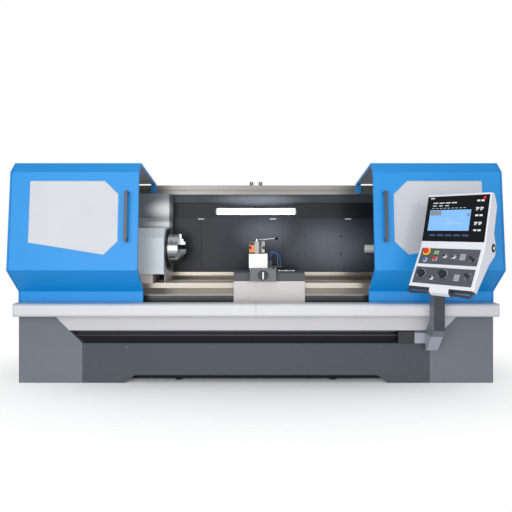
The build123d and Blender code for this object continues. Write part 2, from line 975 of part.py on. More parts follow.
def drive_belt():
    """An endless flat-backed belt round both pulleys."""
    gap = motor_z - spindle_height
    centre_distance = hypot(motor_y, gap)
    lean = (pulley_radius - motor_pulley_radius) / centre_distance
    low = pulley_left + 6
    width = pulley_width - 12

    def loop(extra):
        """The stretched outline of both pulleys, grown by extra."""
        big = pulley_radius + extra
        small = motor_pulley_radius + extra
        rise = lean
        run = (1 - lean * lean) ** 0.5
        path = [
            Line((big * rise, big * run), (centre_distance + small * rise, small * run)),
            ThreePointArc(
                (centre_distance + small * rise, small * run),
                (centre_distance + small, 0),
                (centre_distance + small * rise, -small * run),
            ),
            Line((centre_distance + small * rise, -small * run), (big * rise, -big * run)),
            ThreePointArc((big * rise, -big * run), (-big, 0), (big * rise, big * run)),
        ]
        return make_face(Wire(path))

    ring = loop(belt_thickness) - loop(seat_gap)
    down = Vector(0, motor_y, gap).normalized()
    frame = Plane(origin=(low, 0, spindle_height), x_dir=down, z_dir=(1, 0, 0))
    return extrude(frame * ring, amount=width)


def spindle_motor():
    """The finned motor on its feet, to the left of the pulleys."""
    right = pulley_left - motor_gap
    left = right - motor_length
    body = rod_x(motor_radius - fin_height, left, right, motor_y, motor_z)
    fin = Pos(0, 0, motor_radius - fin_height) * Box(motor_length - 60, 5, 2 * fin_height)
    centre = Pos((left + right) / 2, motor_y, motor_z)
    for i in range(motor_fins):
        body += centre * Rot(360.0 * i / motor_fins, 0, 0) * fin
    for x in (left, right - 18):
        body += rod_x(motor_radius, x, x + 18, motor_y, motor_z)
    foot_top = motor_z - motor_radius * 0.6
    for x in (left + 60, right - 100):
        body += block(x, x + 40, motor_y - motor_radius, motor_y + motor_radius, base_top, foot_top)
    body -= rod_x(motor_shaft + running_gap, right - motor_gap - 2, right + 1, motor_y, motor_z)
    return body


# Chuck
def jaw_slot(clearance):
    """The T-shaped room for one jaw, drawn pointing up from the spindle axis."""
    reach = chuck_radius + 20
    mouth = block(
        chuck_front - jaw_base,
        chuck_front + 1,
        -jaw_width / 2 - clearance,
        jaw_width / 2 + clearance,
        jaw_inner - jaw_heel - jaw_travel,
        reach,
    )
    middle = chuck_front - jaw_base / 2
    foot = block(
        middle - jaw_groove_depth / 2 - clearance,
        middle + jaw_groove_depth / 2 + clearance,
        -jaw_groove_width / 2 - clearance,
        jaw_groove_width / 2 + clearance,
        jaw_inner - jaw_heel - jaw_travel,
        reach,
    )
    return mouth + foot


def chuck_body():
    back = backplate_front - 30
    step = chuck_radius - 12
    body = turned(
        [
            (back, chuck_bore),
            (back, spindle_flange_radius + 14),
            (backplate_front, spindle_flange_radius + 14),
            (backplate_front, chuck_radius - 3),
            (backplate_front + 3, chuck_radius),
            (chuck_front - 3, chuck_radius),
            (chuck_front, step),
            (chuck_front, chuck_bore),
        ]
    )
    for i in range(3):
        turn = Pos(0, 0, spindle_height) * Rot(120.0 * i, 0, 0)
        body -= turn * jaw_slot(jaw_gap)
        key_x = (backplate_front + chuck_front) / 2 - 12
        key = Pos(key_x, 0, chuck_radius - 10) * Box(12, 12, 40)
        body -= Pos(0, 0, spindle_height) * Rot(120.0 * i + 60, 0, 0) * key
        bolt = Pos(chuck_front, 0, chuck_radius * 0.62) * Rot(0, 90, 0) * Cylinder(8, 24)
        body -= Pos(0, 0, spindle_height) * Rot(120.0 * i + 60, 0, 0) * bolt
    return body


def chuck_jaw(index):
    """One stepped hard jaw with its T foot."""
    front = chuck_front
    low = jaw_inner - jaw_heel
    profile = [
        (front - jaw_base, low),
        (front + jaw_rise, low),
        (front + jaw_rise, low + jaw_step),
        (front + jaw_rise * 0.66, low + jaw_step),
        (front + jaw_rise * 0.66, low + 2 * jaw_step),
        (front + jaw_rise * 0.33, low + 2 * jaw_step),
        (front + jaw_rise * 0.33, chuck_radius - 8),
        (front + 1, chuck_radius - 8),
        (front - jaw_base, chuck_radius - 8),
    ]
    body = along_y(profile, -jaw_width / 2, jaw_width / 2)
    middle = front - jaw_base / 2
    half = jaw_groove_depth / 2
    body += block(
        middle - half, middle + half, -jaw_groove_width / 2, jaw_groove_width / 2, low, chuck_radius - 14
    )
    return Pos(0, 0, spindle_height) * Rot(120.0 * index, 0, 0) * body


# Carriage
def saddle():
    """The iron saddle over the ways, with its slide bed and, behind it, the screw's nut."""
    clear = seat_gap
    hook = rear_way[1] + 12
    outline = [
        (saddle_front, saddle_band - 60),
        (saddle_front, saddle_top - 4),
        (saddle_front + 4, saddle_top),
        (saddle_back, saddle_top),
        (saddle_back + 40, saddle_top - 30),
        (hook, saddle_top - 34),
        (hook, way_top - 30),
        (rear_way[1] + clear, way_top - 30),
        (rear_way[1] + clear, way_top + clear),
        (rear_way[0], way_top + clear),
        (rear_way[0], way_top + 10),
        (front_way[1], way_top + 10),
        (front_way[1], way_top + clear),
        (front_way[0] - clear, way_top + clear),
        (front_way[0] - clear, way_top - way_flank + 5),
        (front_way[0] - 20, way_top - way_flank + 1),
    ]
    body = along_x(outline, saddle_left, saddle_right)
    pad = (slide_left - 30, slide_right + 30)
    body += block(*pad, saddle_front, saddle_back - 20, saddle_top, slide_low - seat_gap)
    body -= dovetail(seat_gap, saddle_front - 1, hook + 1)
    nut_left = saddle_left + 120
    nut_right = nut_left + 100
    neck = way_top - way_depth
    body += along_x(
        [
            (rear_way[1] + clear, way_top - 29),
            (rear_way[1] + clear, neck + 4),
            (rear_way[1] + 40, neck - 36),
            (screw_y - 25, neck - 28),
            (screw_y - 25, neck + 7),
            (hook, neck + 7),
            (hook, way_top - 29),
        ],
        nut_left,
        nut_right,
    )
    body += rod_x(screw_nut, nut_left, nut_right, screw_y, screw_z)
    body -= rod_x(screw_radius + running_gap, nut_left - 1, nut_right + 1, screw_y, screw_z)
    return body


def dovetail(clearance, y_low, y_high):
    """The dovetail under the cross slide, or with a clearance the room for it."""
    half = tail_width / 2 + clearance
    foot = half + tail_depth * 0.6
    top = slide_low + 1
    low = slide_low - tail_depth - clearance
    outline = [
        (slide_middle - half, top),
        (slide_middle + half, top),
        (slide_middle + foot, low),
        (slide_middle - foot, low),
    ]
    return along_y(outline, y_low, y_high)


def apron_cover():
    """The light sheet box that hangs in front of the saddle and hides the screw's nut."""
    front = saddle_front
    shell = block(
        saddle_left, saddle_right, front - apron_sheet, front, apron_low, saddle_band
    )
    for x in (saddle_left, saddle_right - panel_sheet):
        shell += block(x, x + panel_sheet, front, front + 8, apron_low, saddle_band - 61)
    edges = shell.edges().filter_by_position(Axis.Y, front - apron_sheet - 0.1, front - apron_sheet + 0.1)
    return fillet(edges, 3)


def feed_screw():
    """The ball screw along the back of the bed, with its end journals."""
    step = 60
    outline = [
        (screw_left, 0),
        (screw_left, screw_journal),
        (screw_left + step, screw_journal),
        (screw_left + step, screw_radius),
        (screw_right - step, screw_radius),
        (screw_right - step, screw_journal),
        (screw_right, screw_journal),
        (screw_right, 0),
    ]
    face = make_face(Polyline(*outline, close=True))
    return Pos(0, screw_y, screw_z) * revolve(face, Axis.X)


def screw_bracket():
    """The bearing block of the cross screw, on the saddle's front."""
    body = block(slide_left, slide_right, bracket_front, saddle_front, bracket_low, bracket_high)
    upright = body.edges().filter_by(Axis.Z)
    body = chamfer(upright.filter_by_position(Axis.Y, bracket_front - 1, bracket_front + 1), 5)
    middle_z = (bracket_low + bracket_high) / 2
    bore_end = bracket_front + bracket_bore_depth
    return body - rod_y(knob_shaft + running_gap, slide_middle, bracket_front - 1, bore_end, middle_z)


def cross_slide():
    """The slide plate on its dovetail, with two clamping grooves along it."""
    plate = block(slide_left, slide_right, slide_front, slide_back, slide_low, slide_top)
    for x in (slide_left + 22, slide_right - 22):
        plate -= block(x - 6, x + 6, slide_front - 1, slide_back + 1, slide_top - 10, slide_top + 1)
    return plate + dovetail(0.0, slide_front, slide_back)


def tool_block():
    body = block(
        tool_block_left, tool_block_right, tool_block_front, tool_block_back, slide_top, tool_block_top
    )
    body = chamfer(body.edges().filter_by(Axis.Z), 4)
    middle = (tool_block_left + tool_block_right) / 2
    for x in (middle - 55, middle + 55):
        for y in (tool_block_front + 20, tool_block_back - 20):
            body -= rod_z(7, x, y, tool_block_top - 12, tool_block_top + 1)
    return body


def toolpost():
    """The quick-change post: a square core with dovetails left and right and a top bolt."""
    core = block(post_left, post_right, post_front, post_back, tool_block_top, post_top)
    for side, x in ((-1, post_left), (1, post_right)):
        core += flank_dovetail(x, side, tool_block_top + 6, post_top - 6, 0.0)
    core += rod_z(post_bolt_radius, post_middle_x, post_middle_y, post_top, post_bolt_top)
    return core


def flank_dovetail(x, side, z_low, z_high, clearance):
    """The dovetail on one flank of the toolpost, or the room for it."""
    wide = 26 + clearance
    narrow = 16 + clearance
    depth = 10 + clearance
    y = post_middle_y
    points = [(x, y - narrow), (x + side * depth, y - wide), (x + side * depth, y + wide), (x, y + narrow)]
    face = make_face(Polyline(*points, close=True))
    return Pos(0, 0, z_low) * extrude(face, amount=z_high - z_low, dir=(0, 0, 1))


def tool_holder(side):
    """A quick-change holder with its tool slot, on one flank of the post."""
    inner = post_left if side < 0 else post_right
    outer = inner + side * holder_reach
    low = tool_block_top + 10
    high = low + holder_height
    front = post_front - 4
    back = post_back + 4
    body = block(min(inner, outer), max(inner, outer), front, back, low, high)
    body -= flank_dovetail(inner, side, low - 1, high + 1, seat_gap)
    floor = outer - side * 20
    body -= block(min(floor, outer + side), max(floor, outer + side), front - 1, back + 1, low + 30, low + 54)
    for i in range(holder_grooves):
        x = inner + side * (i + 1) * holder_reach / (holder_grooves + 1)
        body -= block(x - 2, x + 2, front - 1, front + 3, low + 60, high + 1)
    return body


def ball(radius):
    """A small ball, turned in bands."""
    steps = [Vector(0, -radius).rotate(Axis.Z, 22.5 * i) for i in range(9)]
    section = make_face(Plane.XZ * Polyline(*[(p.X, p.Y) for p in steps], close=True))
    return revolve(section, Axis.Z)


def clamp_lever():
    """The lever on the toolpost's bolt, with its ball."""
    base_z = post_top + seat_gap
    hub = rod_z(18, post_middle_x, post_middle_y, base_z, base_z + 16)
    hub -= rod_z(post_bolt_radius + running_gap, post_middle_x, post_middle_y, base_z - 1, base_z + 17)
    start = Vector(post_middle_x + 15, post_middle_y, base_z + 9)
    end = Vector(post_middle_x + lever_length, post_middle_y, base_z + 9 + lever_rise)
    length = (end - start).length
    rod = Plane(origin=start, z_dir=end - start) * Pos(0, 0, length / 2) * Cylinder(lever_radius, length)
    return hub + rod + Pos(*end) * ball(lever_ball)


def cross_knob():
    """The round hand knob on the front of the cross screw, with its grips."""
    z = (bracket_low + bracket_high) / 2
    back = bracket_front - seat_gap
    front = back - knob_depth
    knob = rod_y(knob_radius, slide_middle, front, back, z)
    knob = chamfer(knob.edges().filter_by_position(Axis.Y, front - 0.1, front + 0.1), 4)
    notch = Pos(knob_radius, (front + back) / 2, 0) * Box(4, knob_depth - 12, 5)
    for i in range(knob_grips):
        knob -= Pos(slide_middle, 0, z) * Rot(0, 360.0 * i / knob_grips, 0) * notch
    half = knob_radius - 8
    knob += block(slide_middle - 5, slide_middle + 5, front - 6, front, z - half, z + half)
    knob += rod_y(knob_shaft, slide_middle, back - 1, bracket_front + bracket_bore_depth - 2, z)
    return knob


def coolant_manifold():
    """The hose block on the cross slide, with the arm that carries the far fittings."""
    body = block(
        manifold_left, manifold_right, manifold_front, manifold_back, slide_top, manifold_top
    )
    body = chamfer(body.edges().filter_by(Axis.Z), 3)
    body += block(
        manifold_right - 1, nozzle_arm_right, manifold_front + 8, manifold_back - 4, slide_top, nozzle_arm_top
    )
    for route in hose_routes:
        for x, y, z in (route[0], route[-1]):
            top = slide_top + z
            body += rod_z(fitting_radius, x, y, top - fitting_height, top)
    return body


def coolant_hoses():
    """Two plastic hoses, each a whole arch between its fittings."""
    hoses = []
    for route in hose_routes:
        points = [Vector(x, y, slide_top + z) for x, y, z in route]
        radii = []
        for before, here, after in zip(points, points[1:], points[2:]):
            turn = (here - before).get_angle(after - here)
            run = min((here - before).length, (after - here).length)
            radii.append(0.45 * run / tan(radians(turn / 2)))
        path = FilletPolyline(*points, radius=radii)
        start = Plane(origin=path @ 0, z_dir=path % 0)
        hose = sweep(start * Circle(hose_radius), path=path)
        print("hose length", round(path.length, 1), "radii", [round(r) for r in radii])
        print("hose volume over section times length", hose.volume / (pi * hose_radius**2 * path.length))
        hoses.append(hose)
    return Compound(children=hoses)


# Tailstock
def tailstock():
    base = along_x(
        [
            (front_way[0] - seat_gap - 14, way_top - 34),
            (front_way[0] - seat_gap, way_top - 34),
            (front_way[0] - seat_gap, way_top + seat_gap),
            (rear_way[1] + seat_gap, way_top + seat_gap),
            (rear_way[1] + seat_gap, way_top - 34),
            (rear_way[1] + seat_gap + 14, way_top - 34),
            (rear_way[1] + seat_gap + 14, tailstock_base_top),
            (front_way[0] - seat_gap - 14, tailstock_base_top),
        ],
        tailstock_left + 20,
        tailstock_right,
    )
    radius = collar_radius + 24
    column = along_x(
        [
            (-110, tailstock_base_top),
            (-radius, spindle_height),
            (radius, spindle_height),
            (110, tailstock_base_top),
        ],
        tailstock_left + 30,
        tailstock_right - 40,
    )
    barrel = rod_x(radius, tailstock_left, tailstock_right - 40, 0, spindle_height)
    collar = rod_x(collar_radius, tailstock_left - collar_width, tailstock_left, 0, spindle_height)
    body = base + column + barrel + collar
    body -= rod_x(
        quill_radius + running_gap, tailstock_left - collar_width - 1, tailstock_right - 80, 0, spindle_height
    )
    return body


def quill():
    """The quill with its ground outside and a taper socket."""
    mouth = quill_taper
    deep = quill_taper - quill_taper_length / 40
    return turned(
        [
            (quill_tip, mouth),
            (quill_tip, quill_radius - 3),
            (quill_tip + 3, quill_radius),
            (tailstock_right - 120, quill_radius),
            (tailstock_right - 120, 0),
            (quill_tip + quill_taper_length, 0),
            (quill_tip + quill_taper_length, deep),
        ]
    )


# Pendant
def pendant_arm():
    """The runner in the guide rail and the bent box tube that stands on it, welded up."""
    front_of_rail = frame_front - guide_depth
    middle = (guide_low + guide_high) / 2
    plate = block(
        trolley_left, trolley_right, trolley_front, front_of_rail - seat_gap, trolley_low, trolley_high
    )
    left_edges = plate.edges().filter_by(Axis.Y)
    left_edges = left_edges.filter_by_position(Axis.X, trolley_left - 1, trolley_left + 1)
    plate = fillet(left_edges, 8)
    runner_left = trolley_left + 20
    runner_right = trolley_right - 20
    neck = block(
        runner_left,
        runner_right,
        front_of_rail - 1,
        front_of_rail + guide_wall + 2,
        middle - guide_mouth / 2 + seat_gap,
        middle + guide_mouth / 2 - seat_gap,
    )
    runner = block(
        runner_left,
        runner_right,
        front_of_rail + guide_wall + seat_gap,
        frame_front - guide_wall - seat_gap,
        guide_low + guide_wall + seat_gap,
        guide_high - guide_wall - seat_gap,
    )
    outline = [
        (arm_front, arm_top),
        (arm_front, arm_knee),
        (arm_heel, arm_foot_low),
        (trolley_front, arm_foot_low),
        (trolley_front, arm_foot_high),
        (arm_back, arm_foot_high + trolley_front - arm_back),
        (arm_back, arm_top),
    ]
    post = along_x(outline, arm_left, arm_right)
    post = fillet(post.edges().filter_by(Axis.Z), 6)
    gusset = along_y(
        [
            (gusset_left, arm_foot_high),
            (arm_left + 1, arm_foot_high),
            (arm_left + 1, arm_foot_high - gusset_drop),
        ],
        trolley_front - gusset_sheet,
        trolley_front + 1,
    )
    collar_top = arm_top + collar_height
    collar = rod_z(swivel_radius, swivel_x, swivel_y, arm_top - 1, collar_top)
    bore_low = collar_top - swivel_pin_length - 4
    bore = rod_z(swivel_pin + running_gap, swivel_x, swivel_y, bore_low, collar_top + 1)
    return plate + neck + runner + post + gusset + collar - bore


def pendant_frame():
    """Where the pendant's own frame stands: X across it, Y back through it, Z up."""
    return Pos(pendant_corner[0], pendant_corner[1], 0) * Rot(0, 0, pendant_turn)


def post_in_pendant():
    """The swivel axis, in the pendant's own frame."""
    dx = swivel_x - pendant_corner[0]
    dy = swivel_y - pendant_corner[1]
    turn = radians(-pendant_turn)
    return dx * cos(turn) - dy * sin(turn), dx * sin(turn) + dy * cos(turn)


def kink():
    """Depth and height of the line where the screen face meets the key face."""
    depth = -upper_length * sin(radians(upper_tilt))
    height = pendant_top - upper_length * cos(radians(upper_tilt))
    return depth, height


def upper_face():
    tilt = radians(upper_tilt)
    return Plane(origin=(0, 0, pendant_top), x_dir=(1, 0, 0), z_dir=(0, -cos(tilt), sin(tilt)))


def lower_face():
    tilt = radians(lower_tilt)
    depth, height = kink()
    return Plane(origin=(0, depth, height), x_dir=(1, 0, 0), z_dir=(0, -cos(tilt), sin(tilt)))


def pivot_height():
    return kink()[1]


def housing_outline():
    """The housing's side outline as (depth, height) points, seen from its right."""
    kink_depth, kink_height = kink()
    tilt = radians(lower_tilt)
    foot_depth = kink_depth - lower_length * sin(tilt)
    foot_height = kink_height - lower_length * cos(tilt)
    return [
        (0, pendant_top),
        (kink_depth, kink_height),
        (foot_depth, foot_height),
        (foot_depth - 4, foot_height - 30),
        (foot_depth + 22, foot_height - 52),
        (kink_depth + 64, kink_height - 118),
        (pivot_depth + 36, kink_height - 56),
        (pivot_depth + 52, kink_height),
        (pivot_depth + 24, kink_height + 98),
        (pivot_depth + 66, pendant_top - 90),
        (pivot_depth + 30, pendant_top),
    ]


def pendant_housing():
    body = along_x(housing_outline(), 0, pendant_width)
    ends = body.edges().filter_by_position(Axis.X, -0.1, 0.1)
    ends += body.edges().filter_by_position(Axis.X, pendant_width - 0.1, pendant_width + 0.1)
    body = chamfer(ends, housing_round)
    screen_pocket = Pos(
        pendant_width / 2, -screen_top - screen_length / 2, -screen_depth / 2 + 0.5
    ) * Box(pendant_width - 2 * screen_margin, screen_length, screen_depth + 1)
    body -= upper_face() * screen_pocket
    for low, high in strip_spans:
        pocket = Pos(pendant_width / 2, -(low + high) / 2, 0) * Box(
            pendant_width - 2 * strip_margin, high - low, 2 * strip_depth
        )
        body -= lower_face() * pocket
    height = pivot_height()
    bore = rod_x(
        trunnion_radius + running_gap,
        trunnion_middle - trunnion_half - 1,
        trunnion_middle + trunnion_half + 1,
        pivot_depth,
        height,
    )
    slot = block(
        trunnion_middle - neck_bar / 2 - 2,
        trunnion_middle + neck_bar / 2 + 2,
        pivot_depth,
        pivot_depth + 90,
        height - 42,
        height + 42,
    )
    body -= bore + slot
    floor = -strip_depth
    places = [
        (stop_place, stop_stem),
        (blue_place, small_stem),
        (left_dial_place, dial_shaft),
        (right_dial_place, dial_shaft),
        (joystick_place, stick_ball),
    ]
    for (u, s), radius in places:
        body -= lower_face() * Pos(u, -s, floor - 14) * Cylinder(radius + button_gap, 32)
    for u, s in (green_place, red_place):
        side = square_button - 4 + 2 * button_gap
        body -= lower_face() * Pos(u, -s, floor - 10) * Box(side, side, 24)
    for u, s, width, height_down in key_panels:
        body += lower_face() * Pos(u, -s, floor + 0.75) * Box(width, height_down, 1.5)
    for u, s in selector_places:
        body += lower_face() * Pos(u, -s, floor + 7) * Cylinder(8, 14)
    u, s = low_stick_place
    body += lower_face() * Pos(u, -s, floor) * stick()
    for u in (0.0, pendant_width):
        body += rod_x(28, u - 4, u + 4, pivot_depth, height)
    body -= lower_face() * corner_room()
    body += lower_face() * (grip() + Pos(pendant_width, 0, 0) * mirrored(grip()))
    return pendant_frame() * body


def corner_room():
    """The room for fingers that the housing leaves behind each grip, in the key face's frame."""
    room = Pos(grip_reach / 2 - 6, -lower_length - 3 - 60, -80) * Box(grip_reach + 8, 120, 200)
    return room + Pos(pendant_width, 0, 0) * mirrored(room)


def grip():
    """A bent tube round the housing's lower left corner, in the key face's frame."""
    depth = -grip_radius - 3
    path = FilletPolyline(
        (10, -lower_length + 14, depth),
        (10, -lower_length - grip_drop, depth),
        (grip_reach - 6, -lower_length - grip_drop + 8, depth),
        (grip_reach + 16, -lower_length + 4, depth),
        radius=grip_bend,
    )
    start = Plane(origin=path @ 0, z_dir=path % 0)
    return sweep(start * Circle(grip_radius), path=path)


def pendant_screen():
    glass = Pos(pendant_width / 2, -screen_top - screen_length / 2, -screen_depth / 2) * Box(
        pendant_width - 2 * screen_margin - 1, screen_length - 1, screen_depth
    )
    return pendant_frame() * (upper_face() * glass)


def pendant_neck():
    """The dark swivel bracket that carries the housing on its trunnion."""
    post_u, post_d = post_in_pendant()
    low = arm_top + collar_height + seat_gap
    high = low + 40
    disc = rod_z(swivel_radius, post_u, post_d, low, high)
    pin = rod_z(swivel_pin, post_u, post_d, low - swivel_pin_length, low)
    bar_u, bar_d = trunnion_middle, neck_depth
    span = hypot(bar_u - post_u, bar_d - post_d)
    reach = Vector(bar_u - post_u, bar_d - post_d, 0)
    bar = Plane(
        origin=(post_u, post_d, (low + high) / 2), x_dir=reach, z_dir=(0, 0, 1)
    ) * Pos(span / 2, 0, 0) * Box(span, neck_bar, high - low)
    riser = block(
        bar_u - neck_bar / 2,
        bar_u + neck_bar / 2,
        bar_d - neck_bar / 2,
        bar_d + neck_bar / 2,
        low,
        pivot_height() + neck_stub / 2,
    )
    stub = block(
        bar_u - neck_bar / 2,
        bar_u + neck_bar / 2,
        pivot_depth,
        bar_d,
        pivot_height() - neck_stub / 2,
        pivot_height() + neck_stub / 2,
    )
    trunnion = rod_x(
        trunnion_radius,
        trunnion_middle - trunnion_half,
        trunnion_middle + trunnion_half,
        pivot_depth,
        pivot_height(),
    )
    return pendant_frame() * (disc + pin + bar + riser + stub + trunnion)


def on_keys(place, shape):
    """A control, drawn standing up from the key face's sunk floor."""
    u, s = place
    return pendant_frame() * (lower_face() * Pos(u, -s, -strip_depth) * shape)


def round_button(place, cap_radius, stem_radius, cap_height, lift):
    cap = Pos(0, 0, lift + cap_height / 2) * Cylinder(cap_radius, cap_height)
    stem = Pos(0, 0, lift / 2 - 3) * Cylinder(stem_radius, lift + 6)
    return on_keys(place, cap + stem)


def square_push(place):
    side = square_button - 4
    cap = Pos(0, 0, button_lift + 3) * Box(square_button, square_button, 6)
    stem = Pos(0, 0, button_lift / 2 - 2) * Box(side, side, button_lift + 4)
    return on_keys(place, cap + stem)


def dial(place):
    body = Pos(0, 0, seat_gap + dial_height / 2) * Cylinder(dial_radius, dial_height)
    high = seat_gap + dial_height
    body = chamfer(body.edges().filter_by_position(Axis.Z, high - 0.1, high + 0.1), 3)
    notch = Pos(dial_radius, 0, seat_gap + dial_height / 2 + 6) * Box(5, 6, dial_height)
    for i in range(dial_grips):
        body -= Rot(0, 0, 360.0 * i / dial_grips) * notch
    shaft = Pos(0, 0, -4) * Cylinder(dial_shaft + button_gap - running_gap, 9)
    return on_keys(place, body + shaft)


def stick():
    """A control stick: its stem and its knob with a bevelled rim, from the key face's floor."""
    stem = Pos(0, 0, stick_height / 2 - 6) * Cylinder(6, stick_height)
    knob = Pos(0, 0, stick_height) * Cylinder(12, 14)
    knob = chamfer(knob.edges().filter_by(GeomType.CIRCLE), 4)
    return stem + knob


def joystick():
    """The upper stick on its ball, which turns in the housing's bore."""
    ball = Pos(0, 0, -stick_ball) * Sphere(stick_ball)
    return on_keys(joystick_place, ball + stick())


# The parts, by the names of their files
nodes = {
    "left_plinth": mirrored(right_plinth()),
    "right_plinth": right_plinth(),
    "base_frame": base_frame(),
    "front_panel": front_panel(),
    "front_rail": front_rail(),
    "lower_fascia": lower_fascia(),
    "pendant_rail": pendant_rail(),
    "bed": bed(),
    "chip_tray": chip_tray(),
    "rear_cabinet": rear_cabinet(),
    "rear_wall": rear_wall(),
    "way_guard": way_guards(),
    "left_end_panel": left_end_panel(),
    "right_end_panel": right_end_panel(),
    "door_rail": door_rail(),
    "lamp_housing": lamp_housing(),
    "lamp_tube": lamp_tube(),
    "headstock": headstock(),
    "headstock_cover": headstock_cover(),
    "spindle_bearings": spindle_bearings(),
    "spindle_motor": spindle_motor(),
    "drive_belt": drive_belt(),
    "spindle": spindle(),
    "motor_pulley": motor_pulley(),
    "chuck_body": chuck_body(),
    "left_door": mirrored(right_door()),
    "right_door": right_door(),
    "left_window": mirrored(right_window()),
    "right_window": right_window(),
    "left_handle": mirrored(right_handle()),
    "right_handle": right_handle(),
    "feed_screw": feed_screw(),
    "saddle": saddle(),
    "apron_cover": apron_cover(),
    "screw_bracket": screw_bracket(),
    "cross_knob": cross_knob(),
    "cross_slide": cross_slide(),
    "tool_block": tool_block(),
    "toolpost": toolpost(),
    "left_tool_holder": tool_holder(-1),
    "right_tool_holder": tool_holder(1),
    "clamp_lever": clamp_lever(),
    "coolant_manifold": coolant_manifold(),
    "coolant_hoses": coolant_hoses(),
    "tailstock": tailstock(),
    "quill": quill(),
    "pendant_arm": pendant_arm(),
    "pendant_neck": pendant_neck(),
    "pendant_housing": pendant_housing(),
    "pendant_screen": pendant_screen(),
    "stop_button": round_button(stop_place, 20.0, stop_stem, 14.0, button_lift),
    "blue_button": round_button(blue_place, 12.0, small_stem, 5.0, button_lift),
    "green_button": square_push(green_place),
    "red_button": square_push(red_place),
    "left_dial": dial(left_dial_place),
    "right_dial": dial(right_dial_place),
    "joystick": joystick(),
}
for i in range(3):
    nodes[f"chuck_jaw_{i + 1}"] = chuck_jaw(i)

for name, shape in nodes.items():
    export_step(shape, f"parts/{name}.step")
print("wrote", len(nodes), "parts")
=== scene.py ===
import bpy
import bmesh
import json
from math import cos, pi, radians, sin
from mathutils import Matrix, Vector


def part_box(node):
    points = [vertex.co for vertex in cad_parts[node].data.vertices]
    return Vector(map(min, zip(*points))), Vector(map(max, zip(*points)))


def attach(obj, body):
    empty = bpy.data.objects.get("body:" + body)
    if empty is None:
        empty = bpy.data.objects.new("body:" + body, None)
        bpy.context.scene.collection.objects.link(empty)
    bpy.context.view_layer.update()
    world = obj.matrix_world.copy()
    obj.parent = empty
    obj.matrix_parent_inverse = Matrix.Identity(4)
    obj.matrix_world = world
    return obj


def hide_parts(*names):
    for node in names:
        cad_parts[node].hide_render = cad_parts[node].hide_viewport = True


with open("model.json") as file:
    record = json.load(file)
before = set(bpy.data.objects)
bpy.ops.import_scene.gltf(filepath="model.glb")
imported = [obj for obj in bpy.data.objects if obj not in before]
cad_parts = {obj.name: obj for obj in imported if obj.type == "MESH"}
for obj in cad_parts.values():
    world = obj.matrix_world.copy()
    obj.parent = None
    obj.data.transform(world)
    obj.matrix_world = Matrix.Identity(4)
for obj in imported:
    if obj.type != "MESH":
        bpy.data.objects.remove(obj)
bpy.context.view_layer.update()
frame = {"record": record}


# The studio: a pale floor that fades into a white backdrop, four soft lamps and a plain sky.
# The camera stands in front of the machine at the height of the operator's chest.
camera_place = (0.0, -4.60, 1.24)
camera_lens = 37.55
camera_drop = -0.055
floor_half = 14.0
floor_colour = (1.0, 1.0, 1.0, 1.0)
floor_squeeze = (0.6, 1.0, 0.0)
floor_fade = (0.45, 1.75)
sky_strength = 0.50
sky_colour = (0.96, 0.98, 1.0, 1.0)
backdrop_colour = (1.0, 1.0, 1.0, 1.0)
lamps = {
    "key_lamp": ((-2.4, -5.6, 1.9), (-0.2, 0.0, 0.9), 3.6, 150.0),
    "fill_lamp": ((2.5, -5.7, 1.4), (0.3, 0.0, 0.9), 4.6, 96.0),
    "low_lamp": ((0.0, -4.4, 0.30), (0.0, 0.0, 0.9), 3.4, 46.0),
    "top_lamp": ((0.0, -1.0, 4.6), (0.0, 0.1, 0.6), 3.0, 30.0),
}

camera = bpy.data.objects.new("camera", bpy.data.cameras.new("camera"))
camera.location = camera_place
camera.rotation_euler = (radians(90), 0, 0)
camera.data.lens = camera_lens
camera.data.sensor_width = 36
camera.data.shift_y = camera_drop
camera.data.clip_end = 60
bpy.context.collection.objects.link(camera)
bpy.context.scene.camera = camera
bpy.context.scene.view_settings.view_transform = "Standard"

for name, (place, target, size, power) in lamps.items():
    lamp = bpy.data.objects.new(name, bpy.data.lights.new(name, "AREA"))
    lamp.location = place
    lamp.rotation_euler = (Vector(target) - Vector(place)).to_track_quat("-Z", "Y").to_euler()
    lamp.data.size = size
    lamp.data.energy = power
    bpy.context.collection.objects.link(lamp)


def add_node(tree, kind, inputs=None, **settings):
    """A node with its settings. Each input takes a constant, or the socket that feeds it."""
    made = tree.nodes.new(kind)
    for setting, value in settings.items():
        setattr(made, setting, value)
    for key, value in (inputs or {}).items():
        if isinstance(value, bpy.types.NodeSocket):
            tree.links.new(value, made.inputs[key])
        else:
            made.inputs[key].default_value = value
    return made


def worked(tree, operation, *values):
    """The result of one sum on numbers or sockets."""
    return add_node(tree, "ShaderNodeMath", dict(enumerate(values)), operation=operation).outputs[0]


sky = bpy.data.worlds.new("sky")
bpy.context.scene.world = sky
sky.use_nodes = True
sky_tree = sky.node_tree
sky_tree.nodes.clear()
soft = add_node(sky_tree, "ShaderNodeBackground", {"Strength": sky_strength, "Color": sky_colour})
white = add_node(sky_tree, "ShaderNodeBackground", {"Color": backdrop_colour})
ray = add_node(sky_tree, "ShaderNodeLightPath").outputs
seen = worked(sky_tree, "MAXIMUM", ray["Is Camera Ray"], ray["Is Transmission Ray"])
mixed = add_node(sky_tree, "ShaderNodeMixShader", {"Fac": seen, 1: soft.outputs[0], 2: white.outputs[0]})
add_node(sky_tree, "ShaderNodeOutputWorld", {"Surface": mixed.outputs[0]})


def mesh_piece(name, verts, faces):
    """A new object at the origin, with its place in its mesh."""
    mesh = bpy.data.meshes.new(name)
    mesh.from_pydata([tuple(v) for v in verts], [], faces)
    piece = bpy.data.objects.new(name, mesh)
    bpy.context.collection.objects.link(piece)
    return piece


def new_finish(name):
    material = bpy.data.materials.new(name)
    material.use_nodes = True
    return material, material.node_tree, material.node_tree.nodes["Principled BSDF"]


def object_place(tree):
    return add_node(tree, "ShaderNodeTexCoord").outputs["Object"]


